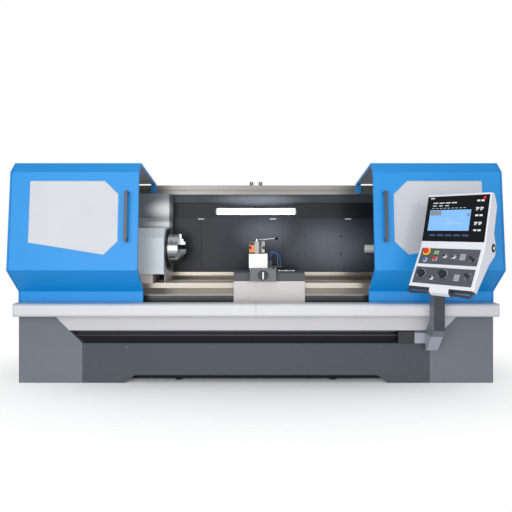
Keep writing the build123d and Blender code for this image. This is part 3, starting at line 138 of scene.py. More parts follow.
corners = [(floor_half * x, floor_half * y, 0) for x, y in ((-1, -1), (1, -1), (1, 1), (-1, 1))]
ground = mesh_piece("ground", corners, [(0, 1, 2, 3)])
ground_paint, ground_tree, ground_skin = new_finish("ground_paint")
ground_skin.inputs["Base Color"].default_value = floor_colour
ground_skin.inputs["Roughness"].default_value = 0.9
ground_place = object_place(ground_tree)
squeezed = add_node(
    ground_tree, "ShaderNodeVectorMath", {0: ground_place, 1: floor_squeeze}, operation="MULTIPLY"
)
away = add_node(ground_tree, "ShaderNodeVectorMath", {0: squeezed.outputs[0]}, operation="LENGTH")
fade = add_node(
    ground_tree,
    "ShaderNodeMapRange",
    {
        "Value": away.outputs["Value"],
        "From Min": floor_fade[0],
        "From Max": floor_fade[1],
        "To Min": 1.0,
        "To Max": 0.0,
    },
    interpolation_type="SMOOTHSTEP",
)
ground_tree.links.new(fade.outputs[0], ground_skin.inputs["Alpha"])
ground.data.materials.append(ground_paint)


# The finishes: what every painted, ground or moulded surface of this machine shares.
# Powder coat has a fine orange peel and slow mottle, and shop dust settles near the floor.
def group_of(name, inputs, outputs):
    """A node group. An input's default is a number or a vector, and None for a place."""
    group = bpy.data.node_groups.new(name, "ShaderNodeTree")
    for word, value in inputs.items():
        kind = "NodeSocketFloat" if isinstance(value, float) else "NodeSocketVector"
        made = group.interface.new_socket(name=word, in_out="INPUT", socket_type=kind)
        if value is not None:
            made.default_value = value
    for word in outputs:
        group.interface.new_socket(name=word, in_out="OUTPUT", socket_type="NodeSocketFloat")
    return group, group.nodes.new("NodeGroupInput").outputs


dust_reach = 0.55
coat_group, coat_in = group_of(
    "coat_relief", {"Place": None, "Grain": 900.0, "Mottle": 0.05, "Dust": 0.1}, ("Height", "Tone", "Wear")
)
coat_place = coat_in["Place"]
peel = add_node(
    coat_group, "ShaderNodeTexNoise", {"Vector": coat_place, "Scale": coat_in["Grain"], "Detail": 3.0}
)
slow = add_node(coat_group, "ShaderNodeTexNoise", {"Vector": coat_place, "Scale": 3.2, "Detail": 5.0})
specks = add_node(coat_group, "ShaderNodeTexNoise", {"Vector": coat_place, "Scale": 46.0, "Detail": 8.0})
parted = add_node(coat_group, "ShaderNodeSeparateXYZ", {0: coat_place})
low = add_node(
    coat_group,
    "ShaderNodeMapRange",
    {"Value": parted.outputs["Z"], "From Min": 0.0, "From Max": dust_reach, "To Min": 1.0, "To Max": 0.0},
)
uneven = worked(coat_group, "SUBTRACT", slow.outputs["Fac"], 0.5)
dusty = worked(coat_group, "MULTIPLY", low.outputs[0], specks.outputs["Fac"])
add_node(
    coat_group,
    "NodeGroupOutput",
    {
        "Height": peel.outputs["Fac"],
        "Tone": worked(coat_group, "MULTIPLY_ADD", uneven, coat_in["Mottle"], 1.0),
        "Wear": worked(coat_group, "MULTIPLY", dusty, coat_in["Dust"]),
    },
)

lay_group, lay_in = group_of(
    "ground_lay", {"Place": None, "Stretch": (4.0, 700.0, 700.0), "Depth": 0.12}, ("Height", "Tone")
)
pulled = add_node(
    lay_group, "ShaderNodeVectorMath", {0: lay_in["Place"], 1: lay_in["Stretch"]}, operation="MULTIPLY"
)
lines = add_node(lay_group, "ShaderNodeTexNoise", {"Vector": pulled.outputs[0], "Scale": 1.0, "Detail": 4.0})
ridged = worked(lay_group, "SUBTRACT", lines.outputs["Fac"], 0.5)
add_node(
    lay_group,
    "NodeGroupOutput",
    {
        "Height": lines.outputs["Fac"],
        "Tone": worked(lay_group, "MULTIPLY_ADD", ridged, lay_in["Depth"], 1.0),
    },
)


def srgb(red, green, blue):
    """A colour as 0 to 255 steps, turned into the linear values that a shader takes."""
    steps = []
    for step in (red, green, blue):
        part = step / 255
        steps.append(part / 12.92 if part < 0.04045 else ((part + 0.055) / 1.055) ** 2.4)
    return (*steps, 1.0)


def in_zone(tree, place, axis, low, high):
    """1 between two places along an axis, and 0 outside them."""
    along = add_node(tree, "ShaderNodeSeparateXYZ", {0: place}).outputs[axis]
    above = worked(tree, "GREATER_THAN", along, low)
    below = worked(tree, "LESS_THAN", along, high)
    return worked(tree, "MULTIPLY", above, below)


def in_patch(tree, place, centre, reach):
    """1 at a place in the part's own frame, and softly down to 0 at its reach along each axis."""
    offset = add_node(tree, "ShaderNodeVectorMath", {0: place, 1: centre}, operation="SUBTRACT")
    scaled = add_node(tree, "ShaderNodeVectorMath", {0: offset.outputs[0], 1: reach}, operation="DIVIDE")
    away = add_node(tree, "ShaderNodeVectorMath", {0: scaled.outputs[0]}, operation="LENGTH")
    fade = add_node(
        tree,
        "ShaderNodeMapRange",
        {"Value": away.outputs["Value"], "From Min": 0.1, "From Max": 1.0, "To Min": 1.0, "To Max": 0.0},
        interpolation_type="SMOOTHSTEP",
    )
    return fade.outputs[0]


def blended(tree, mask, first, second):
    mix = add_node(tree, "ShaderNodeMix", {"Factor": mask, "A": first, "B": second}, data_type="RGBA")
    return mix.outputs["Result"]


def surfaced(name, group, values, colour, rough_span, bump, bump_reach, zones, patches, dust_colour):
    """A finish with a group's tone on its colour and the group's height in its roughness and relief.
    A zone is (axis, low, high, colour), and a patch (centre, reach, colour) has a soft edge."""
    material, tree, skin = new_finish(name)
    place = object_place(tree)
    relief = add_node(tree, "ShaderNodeGroup", {"Place": place, **values}, node_tree=group).outputs
    base = add_node(tree, "ShaderNodeRGB").outputs[0]
    base.default_value = colour
    for axis, low, high, zone_colour in zones:
        base = blended(tree, in_zone(tree, place, axis, low, high), base, zone_colour)
    for centre, reach, patch_colour in patches:
        base = blended(tree, in_patch(tree, place, centre, reach), base, patch_colour)
    toned = add_node(tree, "ShaderNodeVectorMath", {0: base, "Scale": relief["Tone"]}, operation="SCALE")
    base = toned.outputs[0]
    if dust_colour:
        base = blended(tree, relief["Wear"], base, dust_colour)
    tree.links.new(base, skin.inputs["Base Color"])
    low, high = rough_span
    rough = add_node(tree, "ShaderNodeMapRange", {"Value": relief["Height"], "To Min": low, "To Max": high})
    tree.links.new(rough.outputs[0], skin.inputs["Roughness"])
    raised = {"Strength": bump, "Distance": bump_reach, "Height": relief["Height"]}
    tree.links.new(add_node(tree, "ShaderNodeBump", raised).outputs[0], skin.inputs["Normal"])
    return material, skin


shop_dust = srgb(150, 146, 138)
peel_height = 0.0004
lay_height, lay_bump = 0.0003, 0.08


def coat(
    name,
    colour,
    rough=0.42,
    grain=900.0,
    mottle=0.10,
    dust=0.0,
    bump=0.05,
    gloss=0.0,
    shine=0.5,
    zones=(),
    patches=(),
):
    """Powder coat or moulded plastic, with dust on what lies low."""
    values = {"Grain": grain, "Mottle": mottle, "Dust": dust}
    span = (rough - 0.05, rough + 0.07)
    material, skin = surfaced(
        name, coat_group, values, colour, span, bump, peel_height, zones, patches, shop_dust
    )
    skin.inputs["Coat Weight"].default_value = gloss
    skin.inputs["Specular IOR Level"].default_value = shine
    return material


def ground_metal(name, colour, rough=0.3, stretch=(4.0, 700.0, 700.0), depth=0.16, metal=1.0, zones=()):
    """Bare metal with the fine lines that a grinder, a lathe or a rolling mill leaves."""
    values = {"Stretch": stretch, "Depth": depth}
    span = (rough - 0.08, rough + 0.12)
    material, skin = surfaced(
        name, lay_group, values, colour, span, lay_bump, lay_height, zones, (), None
    )
    skin.inputs["Metallic"].default_value = metal
    return material


def dress(node, material):
    """The finish of a part that keeps its own shape."""
    part = bpy.data.objects[node]
    part.data.materials.clear()
    part.data.materials.append(material)


body_of_node = {}
for body, nodes in frame["record"]["behaviour"]["bodies"].items():
    for node in nodes:
        body_of_node[node] = body


def softened(node, material, width=0.0012, segments=2):
    """A copy of a part with its sharp edges broken, as a folded or cast piece has them."""
    piece = bpy.data.objects.new(node + "_skin", bpy.data.objects[node].data.copy())
    bpy.context.collection.objects.link(piece)
    same_place, same_plane, sharp = 0.00002, radians(0.6), radians(28)
    shape = bmesh.new()
    shape.from_mesh(piece.data)
    bmesh.ops.remove_doubles(shape, verts=shape.verts, dist=same_place)
    bmesh.ops.dissolve_limit(shape, angle_limit=same_plane, verts=shape.verts, edges=shape.edges)
    shape.to_mesh(piece.data)
    shape.free()
    piece.data.materials.clear()
    piece.data.materials.append(material)
    for polygon in piece.data.polygons:
        polygon.material_index = 0
        polygon.use_smooth = True
    edge = piece.modifiers.new("broken_edges", "BEVEL")
    edge.width = width
    edge.segments = segments
    edge.limit_method = "ANGLE"
    edge.angle_limit = sharp
    flats = piece.modifiers.new("flat_faces", "WEIGHTED_NORMAL")
    flats.weight = 100
    flats.keep_sharp = True
    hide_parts(node)
    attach(piece, body_of_node[node])
    return piece


# Base: welded plinths under the headstock and the tailstock, the frame between them and its
# front panel. Folded steel sheet in textured dark grey powder coat, scuffed near the floor.
plinth_paint = coat("plinth_paint", srgb(92, 100, 110), rough=0.5, grain=700, dust=0.25, bump=0.10)
panel_paint = coat("panel_paint", srgb(58, 67, 75), rough=0.5, grain=700, dust=0.12, bump=0.10, shine=0.3)
# The frame is painted near black: its dark grey coat together with painted shade in the slot and under the
# kick.
frame_paint = coat("frame_paint", srgb(22, 24, 28), rough=0.6, grain=500, dust=0.04, bump=0.12, shine=0.15)
softened("left_plinth", plinth_paint, 0.003)
softened("right_plinth", plinth_paint, 0.003)
softened("front_panel", panel_paint, 0.0012)
dress("base_frame", frame_paint)


# Panel screws: button-head socket screws that hold the sheets. One head is turned on a lathe
# and repeated along straight rows, each turned to a chance angle as a fitter leaves them.
def turned_head(name, radius, height, facing):
    """A domed head with a hexagon socket, standing out along facing."""
    sides = 12
    rings = [(radius, 0.0), (radius, height * 0.45), (radius * 0.72, height * 0.9), (radius * 0.5, height)]
    verts = []
    for size, rise in rings:
        for i in range(sides):
            angle = 2 * pi * i / sides
            verts.append((size * cos(angle), size * sin(angle), rise))
    socket_size = radius * 0.36
    for rise in (height, height * 0.35):
        for i in range(sides):
            angle = 2 * pi * (i // 2) / 6
            verts.append((socket_size * cos(angle), socket_size * sin(angle), rise))
    faces = []
    for ring in range(5):
        low, high = ring * sides, (ring + 1) * sides
        for i in range(sides):
            j = (i + 1) % sides
            faces.append((low + i, low + j, high + j, high + i))
    faces.append(tuple(range(5 * sides, 6 * sides)))
    faces.append(tuple(reversed(range(sides))))
    turn = Vector(facing).to_track_quat("Z", "Y").to_matrix()
    head = mesh_piece(name, [turn @ Vector(v) for v in verts], faces)
    shape = bmesh.new()
    shape.from_mesh(head.data)
    bmesh.ops.remove_doubles(shape, verts=shape.verts, dist=0.00001)
    bmesh.ops.recalc_face_normals(shape, faces=shape.faces)
    shape.to_mesh(head.data)
    shape.free()
    return head


def modifier_tree(name, inputs):
    """A Geometry Nodes tree with named inputs, its input sockets and their identifiers."""
    made = bpy.data.node_groups.new(name, "GeometryNodeTree")
    for word, kind in inputs.items():
        made.interface.new_socket(name=word, in_out="INPUT", socket_type=kind)
    made.interface.new_socket(name="Geometry", in_out="OUTPUT", socket_type="NodeSocketGeometry")
    rows = [item for item in made.interface.items_tree if item.in_out == "INPUT"]
    return made, made.nodes.new("NodeGroupInput").outputs, {item.name: item.identifier for item in rows}


def finished(tree, instances, finish):
    """The end of a tree: its instances made real and given their finish."""
    solid = add_node(tree, "GeometryNodeRealizeInstances", {"Geometry": instances})
    painted = add_node(
        tree, "GeometryNodeSetMaterial", {"Geometry": solid.outputs["Geometry"], "Material": finish}
    )
    add_node(tree, "NodeGroupOutput", {"Geometry": painted.outputs["Geometry"]})


def grown(name, tree, sockets, values):
    """The plain mesh that a tree makes with these values."""
    carrier = mesh_piece(name, [(0, 0, 0)], [])
    rule = carrier.modifiers.new("rule", "NODES")
    rule.node_group = tree
    for word, value in values.items():
        rule[sockets[word]] = value
    bpy.context.view_layer.update()
    evaluated = carrier.evaluated_get(bpy.context.evaluated_depsgraph_get())
    made = bpy.data.meshes.new_from_object(evaluated)
    bpy.data.objects.remove(carrier)
    return made


row_tree, row_in, row_sockets = modifier_tree(
    "row_of_parts",
    {
        "Part": "NodeSocketObject",
        "Start": "NodeSocketVector",
        "Step": "NodeSocketVector",
        "Count": "NodeSocketInt",
        "Spin": "NodeSocketVector",
        "Finish": "NodeSocketMaterial",
    },
)
line = add_node(
    row_tree,
    "GeometryNodeMeshLine",
    {"Count": row_in["Count"], "Start Location": row_in["Start"], "Offset": row_in["Step"]},
    mode="OFFSET",
)
part_info = add_node(row_tree, "GeometryNodeObjectInfo", {"Object": row_in["Part"]})
chance = add_node(row_tree, "FunctionNodeRandomValue", {"Seed": 7}, data_type="FLOAT")
spun = add_node(
    row_tree, "ShaderNodeVectorMath", {0: row_in["Spin"], "Scale": chance.outputs["Value"]}, operation="SCALE"
)
placed = add_node(
    row_tree,
    "GeometryNodeInstanceOnPoints",
    {
        "Points": line.outputs["Mesh"],
        "Instance": part_info.outputs["Geometry"],
        "Rotation": spun.outputs[0],
    },
)
finished(row_tree, placed.outputs["Instances"], row_in["Finish"])


def rows_of(name, part, rows, material, body, spin=(0.0, 0.0, 0.0)):
    """One mesh of straight rows of a part. A row is (start, step, count)."""
    joined = bmesh.new()
    for start, step, count in rows:
        values = {"Part": part, "Start": start, "Step": step, "Count": count}
        values |= {"Spin": spin, "Finish": material}
        made = grown(name + "_row", row_tree, row_sockets, values)
        joined.from_mesh(made)
        bpy.data.meshes.remove(made)
    mesh = bpy.data.meshes.new(name)
    joined.to_mesh(mesh)
    joined.free()
    mesh.materials.append(material)
    piece = bpy.data.objects.new(name, mesh)
    bpy.context.collection.objects.link(piece)
    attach(piece, body)


screw_metal = ground_metal("screw_metal", srgb(120, 122, 126), rough=0.35, stretch=(300, 300, 300), depth=0.2)
panel_low, panel_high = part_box("front_panel")
panel_head = turned_head("panel_head", 0.007, 0.0035, (0, -1, 0))
screw_inset = 0.018
screw_pitch = 0.676
screw_spin = (0, 6.0, 0)
corner_x = panel_low[0] + screw_inset
corner_step = (panel_high[0] - panel_low[0] - 2 * screw_inset, 0, 0)
low_row, high_row = 0.013, 0.288
panel_rows = [((corner_x, panel_low[1], z), corner_step, 2) for z in (low_row, high_row)]
panel_rows.append(((corner_x + screw_pitch / 2, panel_low[1], high_row), (screw_pitch, 0, 0), 4))
rows_of("panel_screws", panel_head, panel_rows, screw_metal, "machine", screw_spin)
bpy.data.objects.remove(panel_head)


# Front rail: a pressed sheet lip in light grey, in two lengths that meet at the middle.
# Below it the fascia slopes out of sight, and the dark slot holds the pendant's guide rail.
seam = 0.0022
rail_paint = coat(
    "rail_paint",
    srgb(196, 197, 200),
    rough=0.40,
    zones=(("X", -seam / 2, seam / 2, srgb(120, 122, 124)),),
)
fascia_paint = coat("fascia_paint", srgb(182, 180, 184), rough=0.45)
softened("front_rail", rail_paint, 0.002)
softened("lower_fascia", fascia_paint, 0.001)
drawn_metal = ground_metal(
    "drawn_rail", srgb(52, 53, 58), rough=0.34, stretch=(3.0, 500, 500), depth=0.3, metal=0.8
)
dress("pendant_rail", drawn_metal)


# Bed: a grey iron casting in dark machine paint, its two flat ways ground bright and oiled.
# A tray of folded sheet catches its chips and coolant.
painted_to = 0.684
bed_metal = ground_metal(
    "bed_metal",
    srgb(162, 156, 147),
    rough=0.30,
    stretch=(2.0, 420, 420),
    depth=0.25,
    metal=0.7,
    zones=(("Z", 0.0, painted_to, srgb(66, 68, 71)),),
)
dress("bed", bed_metal)
tray_metal = ground_metal(
    "tray_metal", srgb(170, 163, 153), rough=0.32, stretch=(3, 240, 240), depth=0.18, metal=0.85
)
dress("chip_tray", tray_metal)


# Rear cabinet, wall and door rail: folded sheet. The wall behind the work is dark grey, with painted shade
# in its lamp recess, a painted shadow and painted sheen in places, and a stainless guard sloping to the ways.
cabinet_paint = coat("cabinet_paint", srgb(150, 153, 158), rough=0.45, dust=0.1)
# The recess colour is painted shade, for the lamp recess and the deep wall behind it.
recess_shade = srgb(19, 23, 28)
recess_low, recess_high, wall_top = 1.3285, 1.4705, 1.6
wall_paint = coat(
    "wall_paint",
    srgb(34, 38, 46),
    rough=0.34,
    gloss=0.02,
    mottle=0.9,
    shine=0.2,
    zones=(
        ("Z", recess_low, recess_high, recess_shade),
        ("Z", recess_high, wall_top, srgb(54, 62, 70)),
        ("Y", 0.3, 0.4, recess_shade),
        ("Y", 0.2795, 0.2856, srgb(206, 208, 210)),
    ),
    # Painted light and shade: the near-black patch is a painted shadow beside the chuck, and the paler ones
    # are painted sheen and pools of lamp light.
    patches=(
        ((-0.74, 0.285, 0.96), (0.30, 0.4, 0.30), srgb(7, 8, 10)),
        ((0.08, 0.285, 1.18), (0.34, 0.4, 0.20), srgb(86, 92, 102)),
        ((0.72, 0.285, 1.06), (0.56, 0.4, 0.34), srgb(88, 96, 106)),
        ((0.02, 0.285, 1.50), (0.50, 0.4, 0.07), srgb(110, 118, 126)),
    ),
)
dress("rear_cabinet", cabinet_paint)
softened("rear_wall", wall_paint, 0.0008)
guard_metal = ground_metal(
    "guard_metal", srgb(164, 156, 146), rough=0.26, stretch=(2.5, 260, 260), depth=0.22, metal=0.9
)
dress("way_guard", guard_metal)
door_rail_metal = ground_metal(
    "door_rail_metal", srgb(124, 122, 119), rough=0.30, stretch=(1.2, 60, 60), depth=0.5, metal=0.7
)
softened("door_rail", door_rail_metal, 0.0015)
end_paint = coat("end_paint", srgb(8, 124, 198), rough=0.42, gloss=0.05, shine=0.36)
softened("left_end_panel", end_paint, 0.0015)
softened("right_end_panel", end_paint, 0.0015)


# Wall screws: black button heads that hold the wall panels and the recess over them.
# They are the same kind as the panel screws, a little larger, and stand in pairs.
wall_screw = coat("wall_screw", srgb(20, 21, 23), rough=0.35, gloss=0.2)
wall_head = turned_head("wall_head", 0.009, 0.004, (0, -1, 0))
wall_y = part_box("rear_wall")[0][1] + 0.006
high_z, low_z = 1.161, 1.000
wall_rows = [
    ((-0.385, wall_y, high_z), (0.682, 0, 0), 2),
    ((-0.385, wall_y, low_z), (0.760, 0, 0), 2),
    ((0.446, wall_y, high_z), (0.330, 0, 0), 2),
    ((0.446, wall_y, low_z), (0.330, 0, 0), 2),
    ((-0.640, wall_y, 1.290), (0, 0, -0.340), 2),
]
rows_of("wall_screws", wall_head, wall_rows, wall_screw, "machine", screw_spin)
bpy.data.objects.remove(wall_head)


# Work lamp: a clear tube with a frosted strip of diodes, in two end caps on a shallow tray.
# The tray is painted a light grey and sits in the recess over the work.
lamp_glass, lamp_tree, lamp_skin = new_finish("lamp_glass")
strip = {"Vector": object_place(lamp_tree), "Scale": 26.0}
diodes = add_node(lamp_tree, "ShaderNodeTexWave", strip, bands_direction="X").outputs["Fac"]
lamp_colour = blended(lamp_tree, diodes, srgb(226, 232, 240), srgb(250, 252, 255))
lamp_tree.links.new(lamp_colour, lamp_skin.inputs["Base Color"])
lamp_skin.inputs["Roughness"].default_value = 0.25
lamp_skin.inputs["Emission Color"].default_value = srgb(236, 242, 255)
lamp_skin.inputs["Emission Strength"].default_value = 9.0
dress("lamp_tube", lamp_glass)
softened("lamp_housing", coat("lamp_cap_paint", srgb(196, 198, 202), rough=0.35), 0.001)


# Headstock: an iron casting inside a folded sheet cover, with a taller dark guard behind the
# chuck. Spindle, bearings, belt drive and motor run inside; the three-jaw chuck shows in front.
guard_seam = 1.329
cover_paint = coat(
    "cover_paint",
    srgb(189, 198, 205),
    rough=0.34,
    gloss=0.1,
    zones=(
        ("Y", 0.0695, 0.4, srgb(104, 110, 117)),
        # Below the seam the guard's lower sheet is painted paler, a painted sheen.
        ("Z", 1.243, guard_seam, srgb(132, 137, 142)),
        ("Z", guard_seam, guard_seam + 0.0045, srgb(26, 28, 31)),
        ("Z", 0.7, 0.8585, srgb(176, 171, 162)),
    ),
    # The two bright patches are painted highlights, the glint of light on the guard sheet.
    patches=(
        ((-0.80, 0.07, 1.40), (0.20, 0.3, 0.11), srgb(220, 221, 220)),
        ((-0.80, 0.07, 1.27), (0.24, 0.3, 0.045), srgb(228, 229, 228)),
    ),
)
softened("headstock_cover", cover_paint, 0.0012)
nose_paint = coat(
    "nose_paint",
    srgb(34, 35, 38),
    rough=0.4,
    grain=260,
    mottle=0.14,
    bump=0.2,
    zones=(("Z", 0.7, 0.862, srgb(196, 191, 182)),),
)
dress("headstock", nose_paint)
turned_steel = ground_metal("turned_steel", srgb(170, 172, 175), rough=0.22, stretch=(900, 6, 6), depth=0.2)
dress("spindle", turned_steel)
dress("spindle_bearings", turned_steel)
dress("motor_pulley", turned_steel)
chuck_metal = ground_metal("chuck_metal", srgb(144, 145, 148), rough=0.2, stretch=(700, 5, 5), depth=0.16)
softened("chuck_body", chuck_metal, 0.001)
jaw_metal = ground_metal("jaw_metal", srgb(186, 187, 190), rough=0.3, stretch=(30, 500, 30), depth=0.2)
for number in (1, 2, 3):
    softened(f"chuck_jaw_{number}", jaw_metal, 0.0008)
dress("spindle_motor", coat("motor_paint", srgb(52, 56, 60), rough=0.55, grain=300, bump=0.2))
dress("drive_belt", coat("belt_rubber", srgb(26, 26, 27), rough=0.8, grain=200, bump=0.3))


# Ball screw and carriage: a saddle casting over the ways with a light sheet apron in front.
# The cross slide, tool block and quick-change post are ground steel, oiled and a little used.
dress("feed_screw", turned_steel)
saddle_paint = coat("saddle_paint", srgb(61, 62, 67), rough=0.46, grain=260, bump=0.22)
softened("saddle", saddle_paint, 0.0015)
softened("apron_cover", coat("apron_paint", srgb(192, 188, 188), rough=0.42), 0.0012)
softened("screw_bracket", coat("bracket_paint", srgb(92, 93, 97), rough=0.40), 0.0012)
knob_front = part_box("cross_knob")[0][1]
knob_plastic = coat(
    "knob_plastic",
    srgb(22, 22, 24),
    rough=0.36,
    grain=400,
    # The front face is painted near white, a painted reflection on the glossy black cap.
    zones=(("Y", knob_front - 0.001, knob_front + 0.0058, srgb(232, 232, 230)),),
)
softened("cross_knob", knob_plastic, 0.0006)
slide_metal = ground_metal("slide_metal", srgb(150, 148, 145), rough=0.3, stretch=(500, 5, 500), depth=0.22)
softened("cross_slide", slide_metal, 0.001)
along_x = (8, 480, 480)
post_metal = ground_metal("block_metal", srgb(128, 127, 125), rough=0.28, stretch=along_x, depth=0.22)
milled = ground_metal("milled", srgb(240, 240, 238), rough=0.42, stretch=along_x, depth=0.12, metal=0.25)
softened("tool_block", milled, 0.0015)
softened("toolpost", post_metal, 0.001)
holder_paint = coat(
    "holder_paint",
    srgb(58, 58, 60),
    rough=0.35,
    gloss=0.2,
    zones=(("Z", 1.036, 1.094, srgb(222, 122, 34)),),
)
softened("left_tool_holder", holder_paint, 0.001)
holder_steel = ground_metal(
    "holder_steel",
    srgb(70, 70, 72),
    rough=0.32,
    stretch=(300, 300, 6),
    zones=tuple(("X", edge, edge + 0.004, srgb(188, 186, 182)) for edge in (0.049, 0.058, 0.067, 0.076)),
)
softened("right_tool_holder", holder_steel, 0.001)
lever_metal = ground_metal(
    "lever_metal",
    srgb(178, 180, 184),
    rough=0.18,
    stretch=(6, 600, 600),
    zones=(("X", 0.158, 0.4, srgb(14, 14, 15)),),
)
softened("clamp_lever", lever_metal, 0.0006)
softened("coolant_manifold", coat("manifold_plastic", srgb(58, 62, 68), rough=0.4), 0.0008)


# Coolant hoses: soft blue tube pushed on barbs, one arch each, as long as the photo shows.
# Both go from the manifold to its side arm, and only their ends are held.
hose_diameter = 0.006
hose_routes = {
    "front_hose": (
        (
            (0.110, -0.050, 0.974),
            (0.110, -0.050, 1.006),
            (0.124, -0.049, 1.036),
            (0.157, -0.047, 1.040),
            (0.180, -0.045, 1.012),
            (0.184, -0.044, 0.972),
            (0.184, -0.044, 0.928),
        ),
        0.212,
    ),
    "back_hose": (
        (
            (0.126, -0.028, 0.974),
            (0.126, -0.028, 1.002),
            (0.143, -0.029, 1.026),
            (0.176, -0.031, 1.028),
            (0.201, -0.033, 1.003),
            (0.208, -0.034, 0.966),
            (0.208, -0.034, 0.928),
        ),
        0.196,
    ),
}
hose_plastic = coat("hose_plastic", srgb(30, 92, 158), rough=0.3, grain=500, bump=0.03, gloss=0.3)
for name, (route, length) in hose_routes.items():
    curve = bpy.data.curves.new(name, "CURVE")
    curve.dimensions = "3D"
    spline = curve.splines.new("NURBS")
    spline.points.add(len(route) - 1)
    for point, place in zip(spline.points, route):
        point.co = (*place, 1.0)
    spline.order_u = 3
    spline.use_endpoint_u = True
    spline.resolution_u = 12
    curve.bevel_depth = hose_diameter / 2
    curve.bevel_resolution = 4
    curve.use_fill_caps = True
    curve.materials.append(hose_plastic)
    hose = bpy.data.objects.new(name, curve)
    bpy.context.collection.objects.link(hose)
    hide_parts("coolant_hoses")
    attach(hose, "cross_slide")


# Tailstock: a ribbed iron casting on the ways, with a ground quill in its bright collar.
# The casting has dark machine paint, and the quill is bare steel.
cast_paint = coat("cast_paint", srgb(96, 96, 98), rough=0.5, grain=260, mottle=0.14, bump=0.25)
softened("tailstock", cast_paint, 0.002)
# The quill is painted near white with little metal, a painted highlight on the bare steel.
quill_steel = ground_metal(
    "quill_steel", srgb(232, 232, 230), rough=0.3, stretch=(900, 6, 6), depth=0.2, metal=0.35
)
dress("quill", quill_steel)


# Doors: bent sheet in bright blue powder coat with a pale inner face, a clear pane in each and
# a flat bar handle.
door_paint = coat(
    "door_paint",
    srgb(9, 133, 205),
    rough=0.42,
    gloss=0.05,
    mottle=0.04,
    shine=0.36,
    zones=(("Y", 0.262, 0.6, srgb(214, 216, 220)),),
)
lining_paint = coat("lining_paint", srgb(186, 189, 194), rough=0.4)
pane, pane_tree, pane_skin = new_finish("clear_pane")
smears = {"Vector": object_place(pane_tree), "Scale": 2.2, "Detail": 2.0}
haze = add_node(pane_tree, "ShaderNodeTexNoise", smears).outputs["Fac"]
pane_colour = blended(pane_tree, haze, srgb(181, 183, 190), srgb(201, 204, 210))
pane_rough = add_node(pane_tree, "ShaderNodeMapRange", {"Value": haze, "To Min": 0.06, "To Max": 0.16})
pane_tree.links.new(pane_colour, pane_skin.inputs["Base Color"])
pane_tree.links.new(pane_rough.outputs[0], pane_skin.inputs["Roughness"])
pane_skin.inputs["Alpha"].default_value = 0.86
handle_paint = coat("handle_paint", srgb(58, 62, 70), rough=0.32)
for side in ("left", "right"):
    door = softened(f"{side}_door", door_paint, 0.0012)
    door.data.materials.append(lining_paint)
    for polygon in door.data.polygons:
        if polygon.normal.y > 0.05 or polygon.normal.z < -0.97:
            polygon.material_index = 1
    dress(f"{side}_window", pane)
    softened(f"{side}_handle", handle_paint, 0.0015)


# Control pendant: a bent box-section arm on the trolley, a dark swivel neck and a white moulded
# housing. Its two faces have frames of their own: X across the face, Y up it and Z out of it.
pendant_corner = Vector((1.262, -0.680, 0.0))
pendant_turn = radians(-50)
pendant_top = 1.477
screen_tilt = radians(15)
key_tilt = radians(29)
screen_length = 0.386
across = Vector((cos(pendant_turn), sin(pendant_turn), 0))
back = Vector((-sin(pendant_turn), cos(pendant_turn), 0))
upright = Vector((0, 0, 1))


def face_frame(origin, tilt):
    up_face = back * sin(tilt) + upright * cos(tilt)
    out_of_face = upright * sin(tilt) - back * cos(tilt)
    turned = Matrix((across, up_face, out_of_face)).transposed().to_4x4()
    return Matrix.Translation(origin) @ turned


screen_frame = face_frame(pendant_corner + upright * pendant_top, screen_tilt)
kink = screen_frame @ Vector((0, -screen_length, 0))
key_frame = face_frame(kink, key_tilt)
key_floor = -0.003


def face_zone(tree, base, u_span, v_span, h_span):
    """1 inside a box that is set out in a face's own frame."""
    turned = add_node(
        tree,
        "ShaderNodeMapping",
        {"Vector": object_place(tree), "Location": base.to_translation(), "Rotation": base.to_euler()},
        vector_type="TEXTURE",
    )
    across_face = in_zone(tree, turned.outputs[0], "X", *u_span)
    up_face = in_zone(tree, turned.outputs[0], "Y", *v_span)
    out_of_face = in_zone(tree, turned.outputs[0], "Z", *h_span)
    return worked(tree, "MULTIPLY", worked(tree, "MULTIPLY", across_face, up_face), out_of_face)


def face_coat(name, colour, areas, **looks):
    """A coat with areas of another colour. An area is (face, u span, v span, h span, colour)."""
    material = coat(name, colour, **looks)
    tree = material.node_tree
    skin = tree.nodes["Principled BSDF"]
    base = skin.inputs["Base Color"].links[0].from_socket
    for area in areas:
        base = blended(tree, face_zone(tree, *area[:4]), base, area[4])
    tree.links.new(base, skin.inputs["Base Color"])
    return material


arm_paint = coat(
    "arm_paint",
    srgb(104, 109, 120),
    rough=0.40,
    zones=(
        # The slanted foot is painted paler: partly its own light grey, partly a painted reflection of the
        # floor.
        ("Z", 0.2, 0.405, srgb(150, 156, 168)),
        ("Y", -0.5640, -0.5615, srgb(36, 40, 50)),
        ("X", 1.0, 1.2615, srgb(16, 18, 22)),
    ),
)
softened("pendant_arm", arm_paint, 0.002)
softened("pendant_neck", coat("neck_paint", srgb(40, 43, 50), rough=0.45), 0.002)
strip_colour = srgb(74, 76, 84)
strip_height = (-0.004, -0.0012)
strip_span = (0.0203, 0.4577)
grip_colour = srgb(46, 48, 54)
grip_height = (-0.05, 0.01)
grip_drop = (-0.40, -0.3065)
housing_plastic = face_coat(
    "housing_plastic",
    srgb(214, 215, 222),
    [
        (key_frame, strip_span, (-0.1317, -0.0083), strip_height, strip_colour),
        (key_frame, strip_span, (-0.2807, -0.1553), strip_height, strip_colour),
        (key_frame, (0.3960, 0.4440), (-0.2360, -0.1860), (-0.0010, 0.09), srgb(22, 23, 25)),
        (key_frame, (-0.02, 0.1680), grip_drop, grip_height, grip_colour),
        (key_frame, (0.3100, 0.50), grip_drop, grip_height, grip_colour),
    ],
    rough=0.42,
    grain=1200,
)
softened("pendant_housing", housing_plastic, 0.0008)


# Screen: a black glass over the display. The light field is the machine's drawing area, with
# blank fields and soft keys round it; a red lamp sits at the top right.
screen_black = coat(
    "screen_black", srgb(7, 7, 9), rough=0.16, gloss=0.2, shine=0.2, bump=0.0, mottle=0.3
)
dress("pendant_screen", screen_black)


